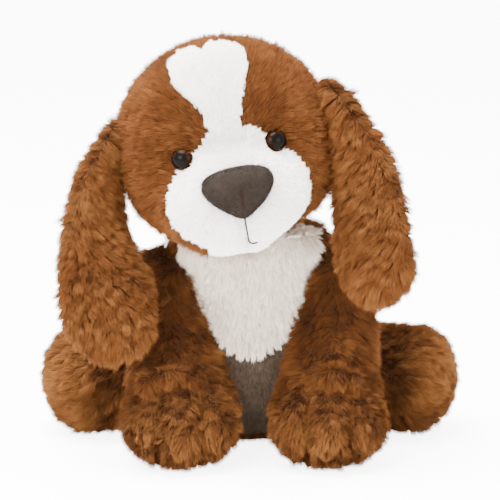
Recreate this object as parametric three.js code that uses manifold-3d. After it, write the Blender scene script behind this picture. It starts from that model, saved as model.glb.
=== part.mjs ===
// A seated plush puppy: long-pile brown skins, a white face, long hanging ears and stout legs.
// Millimetres, +Z up. The dog faces -Y, and its own left side is +X. The origin is the centre of
// the flat seat, on the surface the toy sits on.
import * as THREE from 'three';
import Module from 'manifold-3d';
import { mergeVertices } from 'three/addons/utils/BufferGeometryUtils.js';

const wasm = await Module();
wasm.setup();

// ---- Driving dimensions -------------------------------------------------------------------
const FIT_GAP = 0.4; // between two pieces that touch
const PLUSH = 6; // thickness of a sewn plush skin, cloth and pile together
const EAR_CLOTH = 4.5; // thickness of each of an ear's two layers

const TORSO_HEIGHT = 147; // at the nape, before the head's hollow is taken out
const HEAD_REST = TORSO_HEIGHT - 11; // height of the head's lowest point
const HEAD_CLEARANCE = 8; // between the head and the hollow it sits in, so that it can move
const TORSO_HALF_WIDTH = 60;
const TORSO_HALF_DEPTH = 56;
const TORSO_CENTRE_Y = 14;
const CHEST_PANELS_Y = TORSO_CENTRE_Y - 30; // the bib and the tummy lie in front of this

const NECK_AT = [-6, -16]; // x and y of the neck's middle
const NECK_OPENING_RADIUS = 21;
const NECK_COLLAR_RADIUS = 19;
const NECK_COLLAR_LENGTH = 13;
const THIN_CLOTH = 1; // thickness of unpiled cloth, such as the bean pouch's

const HEAD_HALF_WIDTH = 68.5;
const HEAD_HALF_DEPTH = 60;
const HEAD_HALF_HEIGHT = 64;
const HEAD_AT = [-18, -35]; // x and y of the head's centre
const HEAD_ROLL = -10; // degrees: the top of the head leans to the dog's right
const HEAD_YAW = 6.5; // degrees: the nose points a little to the dog's left
const FACE_PITCH = -12; // degrees: the face panels are cut square to this direction
const SKULL_CENTRE = [2.5, 0, 0];
const CHEEKS_CENTRE = [4, 0, -22]; // the full lower half of the skull
const CHEEKS_RADII = [67, 51, 45];
const MUZZLE_CENTRE = [0, -34, -30];
const MUZZLE_RADII = [45, 46, 38];
const CHEEKS_CREASE = 30; // how sharply the cheeks and the skull meet: higher is sharper
const MUZZLE_CREASE = 14; // the same, where the muzzle meets them

const EYE_SPACING = 61;
const EYE_LEVEL = -9.5; // on the face, above the head's centre
const EYE_RADIUS = 7.2;
const EYE_SINK = 4.6; // how far the dome's flat back lies under the plush's surface
const EYE_STEM_RADIUS = 1.8;
const EYE_STEM_LENGTH = 13;
const EYE_WASHER_RADIUS = 7;
const EYE_WASHER_THICKNESS = 1.6;

const NOSE_THICKNESS = 11;
const NOSE_EDGE = 4; // rounding of the nose's edge
const NOSE_WALL = 1.4;
const THREAD_RADIUS = 0.7;

const EAR_ROOT = { left: [63, -13, 27], right: [-58, 1, 26] }; // in the head's own frame
const EAR_THICKNESS = 12; // half of the whole ear

const SHOULDER_X = 53;
const SHOULDER_TOP = { left: 131, right: 123 }; // the head leans over the right one
const PAW_X = { left: 48, right: -43 };
const SHOULDER_OPENING = { radius: 13, length: 60, at: [27, -17, 100] };
const PAW_HALF_WIDTH = 38;
const PAW_CENTRE_Y = -70;
const TOE_Y = -94;

const HIP_X = 40;
const HIP_Y = 36;
const HIP_OPENING = { radius: 14, length: 40 };
const HIND_FOOT_X = 130; // outer end of a hind foot
const HIND_FOOT_RADIUS = 34;

const TAIL_ROOT_Y = 82; // the middle of the round root
const TAIL_TIP_Y = 118;
const TAIL_RADIUS = 13;
const TAIL_ROOT_Z = TAIL_RADIUS + 8;
const TAIL_OPENING = { radius: 5, length: 16 };

const POUCH_HALF_WIDTH = 34;
const POUCH_HALF_DEPTH = 30;
const POUCH_HEIGHT = 34;
const POUCH_MOUTH_RADIUS = 7; // where the pellets were filled in

const TOE_STITCH_OFFSET = 13; // from the middle of a paw
const CLOSING_SEAM_LOW = 52;
const CLOSING_SEAM_LENGTH = 46;
const CLOSING_STITCHES = 10;
const CLOSING_STITCH_WIDTH = 3;

const LABEL_WIDTH = 14;
const LABEL_LENGTH = 20;
const LABEL_THICKNESS = 0.8;
const LABEL_AT = [40, 48, 26];
const LABEL_TURN = -32; // degrees

const TORSO_SEGMENTS = 18;
const HEAD_SEGMENTS = 20;
const HEAD_RINGS = 13;
const LIMB_SEGMENTS = 12;
const SMALL_SEGMENTS = 12; // round a bead, a ball or an opening
const THREAD_SIDES = 4;

// ---- Materials ------------------------------------------------------------------------------
function finish(color, roughness) {
  return new THREE.MeshStandardMaterial({ color, roughness, metalness: 0 });
}

const BROWN_PLUSH = finish(0x9a6232, 0.95);
const WHITE_PLUSH = finish(0xf6f3ee, 0.9);
const CREAM_PLUSH = finish(0xe6ddd2, 0.95);
const TAUPE_PLUSH = finish(0x8a7768, 0.95);
const NOSE_VELOUR = finish(0x574639, 0.8);
const BROWN_THREAD = finish(0x5a3a22, 0.7);
const EYE_PLASTIC = finish(0x1c0f08, 0.08);
const WASHER_PLASTIC = finish(0xe9e7e0, 0.5);
const FIBRE = finish(0xf4f2ea, 1);
const POUCH_CLOTH = finish(0xd9d4c8, 0.9);
const PELLETS = finish(0xece8dc, 0.6);
const SATIN = finish(0xf7f6f3, 0.4);

// ---- Solids ---------------------------------------------------------------------------------
function degrees(angle) {
  return THREE.MathUtils.degToRad(angle);
}

function closedGeometry(geometry) {
  const bare = geometry.clone();
  bare.deleteAttribute('normal');
  bare.deleteAttribute('uv');
  return mergeVertices(bare, 1e-4);
}

function toSolid(geometry) {
  const closed = closedGeometry(geometry);
  const vertProperties = new Float32Array(closed.attributes.position.array);
  const triVerts = new Uint32Array(closed.index.array);
  const solid = new wasm.Manifold(new wasm.Mesh({ numProp: 3, vertProperties, triVerts }));
  if (solid.volume() > 0) return solid;
  const flipped = triVerts.slice();
  for (let i = 0; i < flipped.length; i += 3) {
    flipped[i] = triVerts[i + 1];
    flipped[i + 1] = triVerts[i];
  }
  return new wasm.Manifold(new wasm.Mesh({ numProp: 3, vertProperties, triVerts: flipped }));
}

function largestPart(solid) {
  const parts = solid.decompose();
  return parts.reduce((best, part) => (part.volume() > best.volume() ? part : best));
}

function toGeometry(solid) {
  const mesh = largestPart(solid).getMesh();
  const geometry = new THREE.BufferGeometry();
  geometry.setAttribute('position', new THREE.BufferAttribute(mesh.vertProperties, 3));
  geometry.setIndex(new THREE.BufferAttribute(mesh.triVerts, 1));
  geometry.computeVertexNormals();
  return geometry;
}

function cutAway(solid, ...cutters) {
  return cutters.reduce((rest, cutter) => rest.subtract(cutter), solid);
}

// The same surface moved inwards by a distance, or outwards by a negative one.
function inset(geometry, distance) {
  const moved = closedGeometry(geometry);
  moved.computeVertexNormals();
  const place = moved.attributes.position;
  const normal = moved.attributes.normal;
  for (let i = 0; i < place.count; i += 1) {
    place.setXYZ(
      i,
      place.getX(i) - normal.getX(i) * distance,
      place.getY(i) - normal.getY(i) * distance,
      place.getZ(i) - normal.getZ(i) * distance,
    );
  }
  moved.deleteAttribute('normal');
  return moved;
}

function box(low, high) {
  const size = high.map((value, i) => value - low[i]);
  const geometry = new THREE.BoxGeometry(...size);
  geometry.translate(...low.map((value, i) => value + size[i] / 2));
  return toSolid(geometry);
}

function ball(centre, radius) {
  const geometry = new THREE.SphereGeometry(radius, SMALL_SEGMENTS, 10);
  geometry.translate(...centre);
  return toSolid(geometry);
}

// A cylinder whose axis is vertical.
function drum(centre, radius, length) {
  const geometry = new THREE.CylinderGeometry(radius, radius, length, SMALL_SEGMENTS);
  geometry.rotateX(Math.PI / 2);
  geometry.translate(...centre);
  return toSolid(geometry);
}

// ---- Lofts: a section carried along a smooth path --------------------------------------------
function ellipseSection(segments) {
  return (wide, thick) => {
    const ring = [];
    for (let i = 0; i < segments; i += 1) {
      const angle = (2 * Math.PI * i) / segments;
      ring.push(new THREE.Vector2(wide * Math.cos(angle), thick * Math.sin(angle)));
    }
    return ring;
  };
}

// One of an ear's two layers: half of an ellipse's rim, front (side 1) or back (side -1).
function layerSection(side, cloth, segments) {
  return (wide, thick) => {
    const ring = [];
    const end = (1.2 * FIT_GAP) / thick;
    for (let i = 0; i <= segments; i += 1) {
      const angle = end + ((Math.PI - 2 * end) * i) / segments;
      ring.push(new THREE.Vector2(wide * Math.cos(angle), side * thick * Math.sin(angle)));
    }
    const inner = [wide - Math.min(cloth, wide / 2), thick - Math.min(cloth, thick / 2)];
    for (let i = segments; i >= 0; i -= 1) {
      const angle = end + ((Math.PI - 2 * end) * i) / segments;
      const rise = Math.max(inner[1] * Math.sin(angle), thick * Math.sin(end));
      ring.push(new THREE.Vector2(inner[0] * Math.cos(angle), side * rise));
    }
    return ring;
  };
}

// The pad between an ear's two layers.
function padSection(cloth, segments) {
  const ellipse = ellipseSection(segments);
  return (wide, thick) => ellipse(
    wide - Math.min(cloth, wide / 2) - FIT_GAP,
    thick - Math.min(cloth, thick / 2) - FIT_GAP,
  );
}

// stations: [x, y, z, half width, half thickness, turn in degrees]. caps are the shares of the
// path that round off at its two ends.
// A level loft keeps every section flat to the floor.
function loft(stations, section, options) {
  const { across = [1, 0, 0], caps = [0.15, 0.15], rings = 8, level = false } = options;
  const path = new THREE.CatmullRomCurve3(stations.map((s) => new THREE.Vector3(s[0], s[1], s[2])));
  const girth = new THREE.CatmullRomCurve3(
    stations.map((s) => new THREE.Vector3(s[3], s[4], s[5] ?? 0)),
  );
  const points = [];
  let ringSize = 0;
  for (let j = 0; j <= rings; j += 1) {
    const t = (1 - Math.cos((Math.PI * (j + 0.25)) / (rings + 0.5))) / 2;
    const fromEnd = [t / caps[0], (1 - t) / caps[1]].map((share) => Math.min(share, 1));
    const round = Math.sqrt(fromEnd[0] * (2 - fromEnd[0]) * fromEnd[1] * (2 - fromEnd[1]));
    const size = girth.getPoint(t);
    const centre = path.getPoint(t);
    const along = level ? new THREE.Vector3(0, 0, 1) : path.getTangent(t);
    const wideWay = new THREE.Vector3(...across);
    wideWay.addScaledVector(along, -along.dot(wideWay)).normalize();
    wideWay.applyAxisAngle(along, degrees(size.z));
    const thickWay = new THREE.Vector3().crossVectors(along, wideWay);
    const ring = section(size.x * round, size.y * round);
    ringSize = ring.length;
    for (const spot of ring) {
      const point = centre.clone();
      point.addScaledVector(wideWay, spot.x).addScaledVector(thickWay, spot.y);
      points.push(point.x, point.y, point.z);
    }
  }
  const index = [];
  for (let j = 0; j < rings; j += 1) {
    for (let i = 0; i < ringSize; i += 1) {
      const next = (i + 1) % ringSize;
      const a = j * ringSize + i;
      const b = j * ringSize + next;
      index.push(a, b, a + ringSize, b, b + ringSize, a + ringSize);
    }
  }
  const lid = THREE.ShapeUtils.triangulateShape(section(1, 1), []);
  const last = rings * ringSize;
  const lidFacesForward = THREE.ShapeUtils.area(section(1, 1)) > 0;
  for (const [a, b, c] of lid) {
    if (lidFacesForward) index.push(a, c, b, last + a, last + b, last + c);
    else index.push(a, b, c, last + a, last + c, last + b);
  }
  const geometry = new THREE.BufferGeometry();
  geometry.setAttribute('position', new THREE.Float32BufferAttribute(points, 3));
  geometry.setIndex(index);
  return geometry;
}

// ---- Flat outlines ----------------------------------------------------------------------------
function grownOutline(points, distance) {
  const sign = THREE.ShapeUtils.area(points) > 0 ? 1 : -1;
  return points.map((point, i) => {
    const before = points[(i + points.length - 1) % points.length];
    const after = points[(i + 1) % points.length];
    const way = new THREE.Vector2().subVectors(after, before).normalize();
    return new THREE.Vector2(
      point.x + sign * way.y * distance,
      point.y - sign * way.x * distance,
    );
  });
}

function outline(pairs) {
  return pairs.map((pair) => new THREE.Vector2(...pair));
}

// An outline in x and z, pushed from the plane y = 0 towards -Y.
function frontPrism(points, length) {
  const geometry = new THREE.ExtrudeGeometry(new THREE.Shape(points), {
    depth: length,
    bevelEnabled: false,
  });
  geometry.rotateX(Math.PI / 2);
  return geometry;
}

function thread(points, radius) {
  const section = new THREE.Shape();
  section.absarc(0, 0, radius, 0, 2 * Math.PI);
  const path = new THREE.CatmullRomCurve3(points);
  return new THREE.ExtrudeGeometry(section, {
    steps: points.length * 2 - 2,
    curveSegments: THREAD_SIDES / 2,
    extrudePath: path,
  });
}

// ---- The toy ----------------------------------------------------------------------------------
const dog = new THREE.Group();
const head = new THREE.Group();
dog.add(head);

function addPiece(group, name, solid, material) {
  const mesh = new THREE.Mesh(toGeometry(solid), material);
  mesh.name = name;
  group.add(mesh);
}

const FAR = 400;
const below = (height) => box([-FAR, -FAR, -FAR], [FAR, FAR, height]);
const belowFloor = below(0);
const belowLining = below(PLUSH);
const belowFilling = below(PLUSH + FIT_GAP);

// A stuffed skin: its outside, its inside and the fibre that fills it, from one surface.
function stuffedForm(geometry, skin) {
  const inside = toSolid(inset(geometry, skin));
  return {
    outside: toSolid(geometry),
    grown: toSolid(inset(geometry, -FIT_GAP)),
    inside,
    filling: toSolid(inset(geometry, skin + 2 * FIT_GAP)).intersect(inside),
  };
}

// Torso: a pear that stands on its flat seat. Rows hold the height, the centre's y, and the half
// width and half depth as shares of the torso's.
const TORSO_ROWS = [
  [-0.03, 4, 0.64, 0.62],
  [0, 4, 0.74, 0.7],
  [0.07, 2, 0.92, 0.88],
  [0.24, 0, 1, 1],
  [0.43, -2, 0.98, 0.97],
  [0.58, -6, 0.92, 0.88],
  [0.73, -12, 0.88, 0.8],
  [0.87, -20, 0.84, 0.72],
  [1, -26, 0.68, 0.6],
];
const torsoGeometry = loft(
  TORSO_ROWS.map(([height, y, wide, deep]) => [
    0,
    TORSO_CENTRE_Y + y,
    height * TORSO_HEIGHT,
    wide * TORSO_HALF_WIDTH,
    deep * TORSO_HALF_DEPTH,
  ]),
  ellipseSection(TORSO_SEGMENTS),
  { caps: [0.01, 0.05], rings: 11, level: true },
);
const torsoForm = stuffedForm(torsoGeometry, PLUSH);
const neckPivot = [...NECK_AT, HEAD_REST - HEAD_CLEARANCE / 2];
const neckOpening = ball(neckPivot, NECK_OPENING_RADIUS);

const BIB = outline([
  [-34, 150], [-44, 124], [-46, 108], [-38, 94], [-26, 79], [-13, 67], [0, 62],
  [13, 67], [26, 79], [38, 94], [46, 108], [44, 124], [34, 150],
]);
const TUMMY = outline([[-40, -20], [40, -20], [43, 40], [38, 93], [-38, 93], [-43, 40]]);

function frontPanel(points) {
  const geometry = frontPrism(points, FAR);
  geometry.translate(0, CHEST_PANELS_Y, 0);
  return toSolid(geometry);
}

function addTorso() {
  const inside = torsoForm.inside.subtract(belowLining);
  const shell = cutAway(torsoForm.outside, inside, neckOpening, headRoom, belowFloor);
  const tummyCut = frontPanel(TUMMY);
  const bibCut = frontPanel(grownOutline(BIB, FIT_GAP));
  addPiece(dog, 'chest_bib', shell.intersect(frontPanel(BIB)), CREAM_PLUSH);
  addPiece(dog, 'tummy_panel', shell.intersect(tummyCut).subtract(bibCut), TAUPE_PLUSH);
  const tummyRoom = frontPanel(grownOutline(TUMMY, FIT_GAP));
  const panelRoom = bibCut.add(tummyRoom);
  const rearRoom = frontPrism(grownOutline(TUMMY, FIT_GAP), FIT_GAP);
  rearRoom.translate(0, CHEST_PANELS_Y + FIT_GAP, 0);
  addPiece(dog, 'torso_skin', cutAway(shell, panelRoom, toSolid(rearRoom)), BROWN_PLUSH);

  const seatInside = PLUSH + FIT_GAP;
  const pouchAt = [0, TORSO_CENTRE_Y + 2, seatInside + POUCH_HEIGHT / 2 + FIT_GAP];
  const pouchShape = new THREE.SphereGeometry(1, SMALL_SEGMENTS, 8);
  pouchShape.scale(POUCH_HALF_WIDTH, POUCH_HALF_DEPTH, POUCH_HEIGHT / 2);
  pouchShape.translate(...pouchAt);
  const pouch = stuffedForm(pouchShape, THIN_CLOTH);
  const mouthAt = [pouchAt[0], pouchAt[1], pouchAt[2] + POUCH_HEIGHT / 2];
  const filler = drum(mouthAt, POUCH_MOUTH_RADIUS, POUCH_HEIGHT / 2);
  addPiece(dog, 'bean_pouch', pouch.outside.subtract(pouch.inside).subtract(filler), POUCH_CLOTH);
  addPiece(dog, 'bean_fill', pouch.filling, PELLETS);

  const underPouch = drum([pouchAt[0], pouchAt[1], 0], POUCH_HALF_DEPTH, 2 * pouchAt[2]);
  const filling = cutAway(
    torsoForm.filling,
    pouch.grown,
    underPouch,
    neckOpening,
    headRoom,
    belowFilling,
  );
  addPiece(dog, 'torso_stuffing', filling, FIBRE);
}

// Neck: the openings' seam allowance, turned in and sewn round, and the fibre that passes it.
function addNeck() {
  const outer = drum(neckPivot, NECK_COLLAR_RADIUS, NECK_COLLAR_LENGTH);
  const inner = drum(neckPivot, NECK_COLLAR_RADIUS - THIN_CLOTH, NECK_COLLAR_LENGTH + 2);
  addPiece(dog, 'neck_collar', outer.subtract(inner), POUCH_CLOTH);
  const plugRadius = NECK_COLLAR_RADIUS - THIN_CLOTH - 2 * FIT_GAP;
  addPiece(dog, 'neck_stuffing', ball(neckPivot, plugRadius), FIBRE);
}

// Head: a round skull and a broad muzzle, blended into one surface about the head's centre.
function reach(direction, centre, radii) {
  const d = direction.clone().divide(radii);
  const c = centre.clone().divide(radii);
  const a = d.dot(d);
  const b = d.dot(c);
  const root = b * b - a * (c.dot(c) - 1);
  if (root <= 0) return 0;
  return Math.max((b + Math.sqrt(root)) / a, 0);
}

const skullRadii = new THREE.Vector3(HEAD_HALF_WIDTH, HEAD_HALF_DEPTH, HEAD_HALF_HEIGHT);
const skullCentre = new THREE.Vector3(...SKULL_CENTRE);
const cheeksCentre = new THREE.Vector3(...CHEEKS_CENTRE);
const cheeksRadii = new THREE.Vector3(...CHEEKS_RADII);
const muzzleCentre = new THREE.Vector3(...MUZZLE_CENTRE);
const muzzleRadii = new THREE.Vector3(...MUZZLE_RADII);

function headReach(direction) {
  const skull = reach(direction, skullCentre, skullRadii);
  const cheeks = reach(direction, cheeksCentre, cheeksRadii);
  const muzzle = reach(direction, muzzleCentre, muzzleRadii);
  const round = (skull ** CHEEKS_CREASE + cheeks ** CHEEKS_CREASE) ** (1 / CHEEKS_CREASE);
  return (round ** MUZZLE_CREASE + muzzle ** MUZZLE_CREASE) ** (1 / MUZZLE_CREASE);
}

function headGeometry() {
  const geometry = new THREE.SphereGeometry(1, HEAD_SEGMENTS, HEAD_RINGS);
  const place = geometry.attributes.position;
  for (let i = 0; i < place.count; i += 1) {
    const direction = new THREE.Vector3().fromBufferAttribute(place, i).normalize();
    direction.multiplyScalar(headReach(direction));
    place.setXYZ(i, direction.x, direction.y, direction.z);
  }
  return geometry;
}

head.position.set(...HEAD_AT, HEAD_REST + HEAD_HALF_HEIGHT);
head.rotation.set(0, degrees(HEAD_ROLL), degrees(HEAD_YAW), 'ZYX');
head.updateMatrixWorld(true);

const facePitch = new THREE.Matrix4().makeRotationX(degrees(FACE_PITCH));

// The point of the head's surface that lies behind a point of the face's front view.
function facePoint(across, up, lift = 0) {
  let near = 0;
  let far = 2 * HEAD_HALF_DEPTH + 60;
  const point = new THREE.Vector3();
  for (let i = 0; i < 40; i += 1) {
    const middle = (near + far) / 2;
    point.set(across, -middle, up).applyMatrix4(facePitch);
    if (point.length() < headReach(point.clone().normalize()) + lift) near = middle;
    else far = middle;
  }
  return point;
}

// Turns -Y to the surface's outward direction at a point of the head.
function faceFrame(point) {
  const step = 0.01;
  const outward = new THREE.Vector3();
  ['x', 'y', 'z'].forEach((axis) => {
    const moved = point.clone();
    moved[axis] += step;
    const level = (p) => p.length() / headReach(p.clone().normalize());
    outward[axis] = (level(moved) - level(point)) / step;
  });
  outward.normalize();
  const turn = new THREE.Quaternion().setFromUnitVectors(new THREE.Vector3(0, -1, 0), outward);
  return new THREE.Matrix4().compose(point, turn, new THREE.Vector3(1, 1, 1));
}

const BLAZE = outline([
  [9.5, 5], [12, 14], [16, 24], [20, 35], [23, 45], [21, 53], [15, 59], [8, 61.5], [1, 61.5],
  [-4, 59], [-9, 62], [-17, 60], [-27, 54.5], [-29, 47], [-28, 38], [-22, 29], [-15, 19], [-10, 5],
]);
const MUZZLE = outline([
  [9.5, 4], [18, 1], [26, -8], [34, -14], [41, -21], [46, -31], [47.5, -41], [45, -51],
  [39, -60], [30, -66], [-25, -66], [-35, -59], [-42, -49], [-44, -39], [-42, -29],
  [-35, -19], [-26, -11], [-17, -4], [-10, 4],
]);
const CHIN = outline([[29, -67], [25, -90], [-20, -90], [-24, -67]]);
const NOSE = outline([
  [0, -50.5], [9, -46], [17, -39], [21.5, -31], [20, -25], [14, -21.5], [5, -20], [-5, -20],
  [-14, -21.5], [-20, -25], [-21.5, -31], [-17, -39], [-9, -46],
]);

function facePanel(points, length = FAR) {
  return toSolid(frontPrism(points, length).applyMatrix4(facePitch));
}

function eyeFrame(side) {
  return faceFrame(facePoint((side * EYE_SPACING) / 2, EYE_LEVEL));
}

function lathe(profile, frame) {
  const geometry = new THREE.LatheGeometry(outline(profile), SMALL_SEGMENTS);
  geometry.rotateX(Math.PI);
  return toSolid(geometry.applyMatrix4(frame));
}

// Eye: a glossy dome with a stem that passes the plush, held by a washer inside. The washer has a
// bore for the stem. Lengths count outwards from the plush's surface.
function eyeSolid(side, grow = 0) {
  const radius = EYE_RADIUS + grow;
  const stem = EYE_STEM_RADIUS + grow;
  const back = -EYE_SINK - grow;
  const profile = [[0, -EYE_STEM_LENGTH - grow], [stem, -EYE_STEM_LENGTH - grow], [stem, back]];
  const steps = 5;
  for (let i = 0; i < steps; i += 1) {
    const angle = (Math.PI / 2) * (i / steps);
    profile.push([radius * Math.cos(angle), back + (radius + grow) * Math.sin(angle)]);
  }
  profile.push([0, back + radius + grow]);
  return lathe(profile, eyeFrame(side));
}

function washerSolid(side) {
  const high = -PLUSH - FIT_GAP;
  const low = high - EYE_WASHER_THICKNESS;
  const outer = EYE_WASHER_RADIUS;
  const bore = EYE_STEM_RADIUS + FIT_GAP;
  return lathe([[bore, low], [outer, low], [outer, high], [bore, high], [bore, low]],
    eyeFrame(side));
}

// The room that a washer needs, from below it up to a level.
function washerRoom(side, high) {
  const low = -PLUSH - EYE_WASHER_THICKNESS - 2 * FIT_GAP;
  const outer = EYE_WASHER_RADIUS + FIT_GAP;
  return lathe([[0, low], [outer, low], [outer, high], [0, high]], eyeFrame(side));
}

function noseGeometry(shrink) {
  const geometry = new THREE.ExtrudeGeometry(
    new THREE.Shape(grownOutline(NOSE, -NOSE_EDGE - shrink)),
    {
      depth: 30,
      bevelEnabled: true,
      bevelThickness: NOSE_EDGE,
      bevelSize: NOSE_EDGE,
      bevelSegments: 3,
    },
  );
  geometry.rotateX(Math.PI / 2);
  const tip = facePoint(0, -33);
  const front = -new THREE.Vector3(tip.x, tip.y, tip.z).applyMatrix4(facePitch.clone().invert()).y;
  geometry.translate(0, -(front + NOSE_THICKNESS - shrink) + 30 + NOSE_EDGE, 0);
  return geometry.applyMatrix4(facePitch);
}

const headForm = stuffedForm(headGeometry(), PLUSH);
const headRoom = toSolid(inset(headGeometry(), -HEAD_CLEARANCE)).transform(
  head.matrixWorld.elements,
);

function addHead() {
  const toHead = head.matrixWorld.clone().invert();
  const pivot = new THREE.Vector3(...neckPivot).applyMatrix4(toHead);
  const opening = ball(pivot.toArray(), NECK_OPENING_RADIUS);
  const sockets = [1, -1].flatMap((side) => [eyeSolid(side, FIT_GAP), washerRoom(side, -PLUSH)]);
  const shell = cutAway(headForm.outside, headForm.inside, opening, ...sockets);
  addPiece(head, 'face_blaze', shell.intersect(facePanel(BLAZE)), WHITE_PLUSH);
  addPiece(head, 'muzzle_panel', shell.intersect(facePanel(MUZZLE)), WHITE_PLUSH);
  addPiece(head, 'chin_panel', shell.intersect(facePanel(CHIN)), WHITE_PLUSH);
  const rooms = [BLAZE, MUZZLE, CHIN].map((points) => facePanel(grownOutline(points, FIT_GAP)));
  const behind = facePitch.clone().setPosition(0, FIT_GAP, 0);
  const seams = [BLAZE, MUZZLE, CHIN].map((points) =>
    toSolid(frontPrism(grownOutline(points, FIT_GAP), FAR).applyMatrix4(behind)));
  addPiece(head, 'head_skin', cutAway(shell, ...rooms, ...seams), BROWN_PLUSH);

  const pockets = [1, -1].flatMap((side) => [
    eyeSolid(side, FIT_GAP),
    washerRoom(side, -PLUSH / 2),
  ]);
  const plugRoom = ball(pivot.toArray(), NECK_OPENING_RADIUS);
  addPiece(head, 'head_stuffing', cutAway(headForm.filling, plugRoom, ...pockets), FIBRE);
  for (const [side, word] of [[1, 'left'], [-1, 'right']]) {
    addPiece(head, `eye_${word}`, eyeSolid(side), EYE_PLASTIC);
    addPiece(head, `eye_washer_${word}`, washerSolid(side), WASHER_PLASTIC);
  }

  const cover = toSolid(noseGeometry(0)).subtract(headForm.grown);
  const hollow = toSolid(noseGeometry(NOSE_WALL));
  addPiece(head, 'nose_cover', cover.subtract(hollow), NOSE_VELOUR);
  const padding = toSolid(noseGeometry(NOSE_WALL + FIT_GAP)).subtract(headForm.grown);
  addPiece(head, 'nose_stuffing', padding, FIBRE);

  const lift = THREAD_RADIUS + FIT_GAP;
  const mouth = [[0, -53], [0, -57], [0, -61], [0.5, -65], [4, -66.5]].map(([x, z]) =>
    facePoint(x, z, lift));
  addPiece(head, 'mouth_stitch', toSolid(thread(mouth, THREAD_RADIUS)), BROWN_THREAD);
}

// Front legs: a column from the shoulder that turns forward into the paw.
function frontLegStations(side, word) {
  const paw = PAW_X[word];
  const shoulder = side * SHOULDER_X;
  const between = (share) => shoulder + (paw - shoulder) * share;
  return [
    [shoulder, -10, SHOULDER_TOP[word], 22, 20],
    [shoulder, -13, 104, 26, 27],
    [between(0.3), -20, 79, 30, 30],
    [between(0.7), -34, 54, 33, 31],
    [paw, -50, 33, PAW_HALF_WIDTH - 1, 33],
    [paw, PAW_CENTRE_Y - 2, 24, PAW_HALF_WIDTH, 27],
    [paw, TOE_Y, 22, PAW_HALF_WIDTH - 6, 23],
  ];
}

// Hind legs: they lie out sideways on the floor, foot end outermost.
function hindLegStations(side) {
  const radius = HIND_FOOT_RADIUS;
  return [
    [side * HIP_X, HIP_Y, radius + 1, 24, 26],
    [side * (HIP_X + 22), HIP_Y - 4, radius + 2, radius - 4, radius - 1],
    [side * (HIND_FOOT_X - 42), HIP_Y - 12, radius + 1, radius - 1, radius + 1],
    [side * (HIND_FOOT_X - 20), HIP_Y - 19, radius + 1, radius - 1, radius + 1],
    [side * HIND_FOOT_X, HIP_Y - 26, radius, radius - 2, radius - 1],
  ];
}

const SIDES = [[1, 'left'], [-1, 'right']];
const legShape = ellipseSection(LIMB_SEGMENTS);
const frontGeometry = {};
const frontForms = {};
const hindForms = {};
for (const [side, word] of SIDES) {
  frontGeometry[word] = loft(frontLegStations(side, word), legShape, { caps: [0.12, 0.2] });
  frontForms[word] = stuffedForm(frontGeometry[word], PLUSH);
  const hind = loft(hindLegStations(side), legShape, { across: [0, 1, 0], caps: [0.1, 0.3] });
  hindForms[word] = stuffedForm(hind, PLUSH);
}

function addFrontLeg(side, word) {
  const form = frontForms[word];
  const others = [torsoForm.grown, headForm.grown.transform(head.matrixWorld.elements)];
  const { radius, length, at: [across, back, up] } = SHOULDER_OPENING;
  const opening = drum([0, 0, 0], radius, length).rotate([0, 90, 0]);
  const at = [side * across, back, up];
  const inside = form.inside.subtract(belowLining);
  const skin = cutAway(form.outside, inside, opening.translate(at), belowFloor, ...others);
  addPiece(dog, `front_leg_skin_${word}`, skin, BROWN_PLUSH);
  addPiece(dog, `front_leg_stuffing_${word}`, cutAway(form.filling, belowFilling, ...others), FIBRE);
  addToeStitches(side, word, frontGeometry[word]);
}

function addHindLeg(side, word) {
  const form = hindForms[word];
  const others = [torsoForm.grown, frontForms[word].grown];
  const opening = drum([0, 0, 0], HIP_OPENING.radius, HIP_OPENING.length).rotate([0, 90, 0]);
  const at = [side * HIP_X, HIP_Y, HIND_FOOT_RADIUS + 1];
  const inside = form.inside.subtract(belowLining);
  const skin = cutAway(form.outside, inside, opening.translate(at), belowFloor, ...others);
  addPiece(dog, `hind_leg_skin_${word}`, skin, BROWN_PLUSH);
  addPiece(dog, `hind_leg_stuffing_${word}`, cutAway(form.filling, belowFilling, ...others), FIBRE);
}

// Ears: two plush layers sewn edge to edge with a thin pad of fibre between them. They hang from
// their seams on the head, and turn from facing sideways at the seam to facing forward below.
function earStations(side) {
  const root = new THREE.Vector3(...EAR_ROOT[side > 0 ? 'left' : 'right']);
  root.applyMatrix4(head.matrixWorld);
  const t = EAR_THICKNESS;
  const drops = side > 0
    ? [
      [1, 0, 2, 10, t - 5, 85],
      [13, -4, -18, 21, t - 1, 78],
      [23, -10, -41, 27, t, 62],
      [30, -19, -66, 29, t, 50],
      [33, -29, -91, 30, t, 42],
      [37, -36, -113, 28, t, 36],
      [43, -39, -134, 18, t - 1, 36],
    ]
    : [
      [0, 0, 0, 9, t - 6, -85],
      [-4, -3, -16, 18, t - 4, -78],
      [-11, -8, -38, 26, t - 1, -66],
      [-14, -16, -62, 29, t, -56],
      [-11, -27, -87, 31, t, -32],
      [-7, -34.5, -108, 32, t, -14],
      [-6, -38.5, -128, 29, t, -8],
      [-9, -39, -148, 18, t - 1, -8],
    ];
  return drops.map(([x, y, z, ...rest]) => [root.x + x, root.y + y, root.z + z, ...rest]);
}

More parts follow.
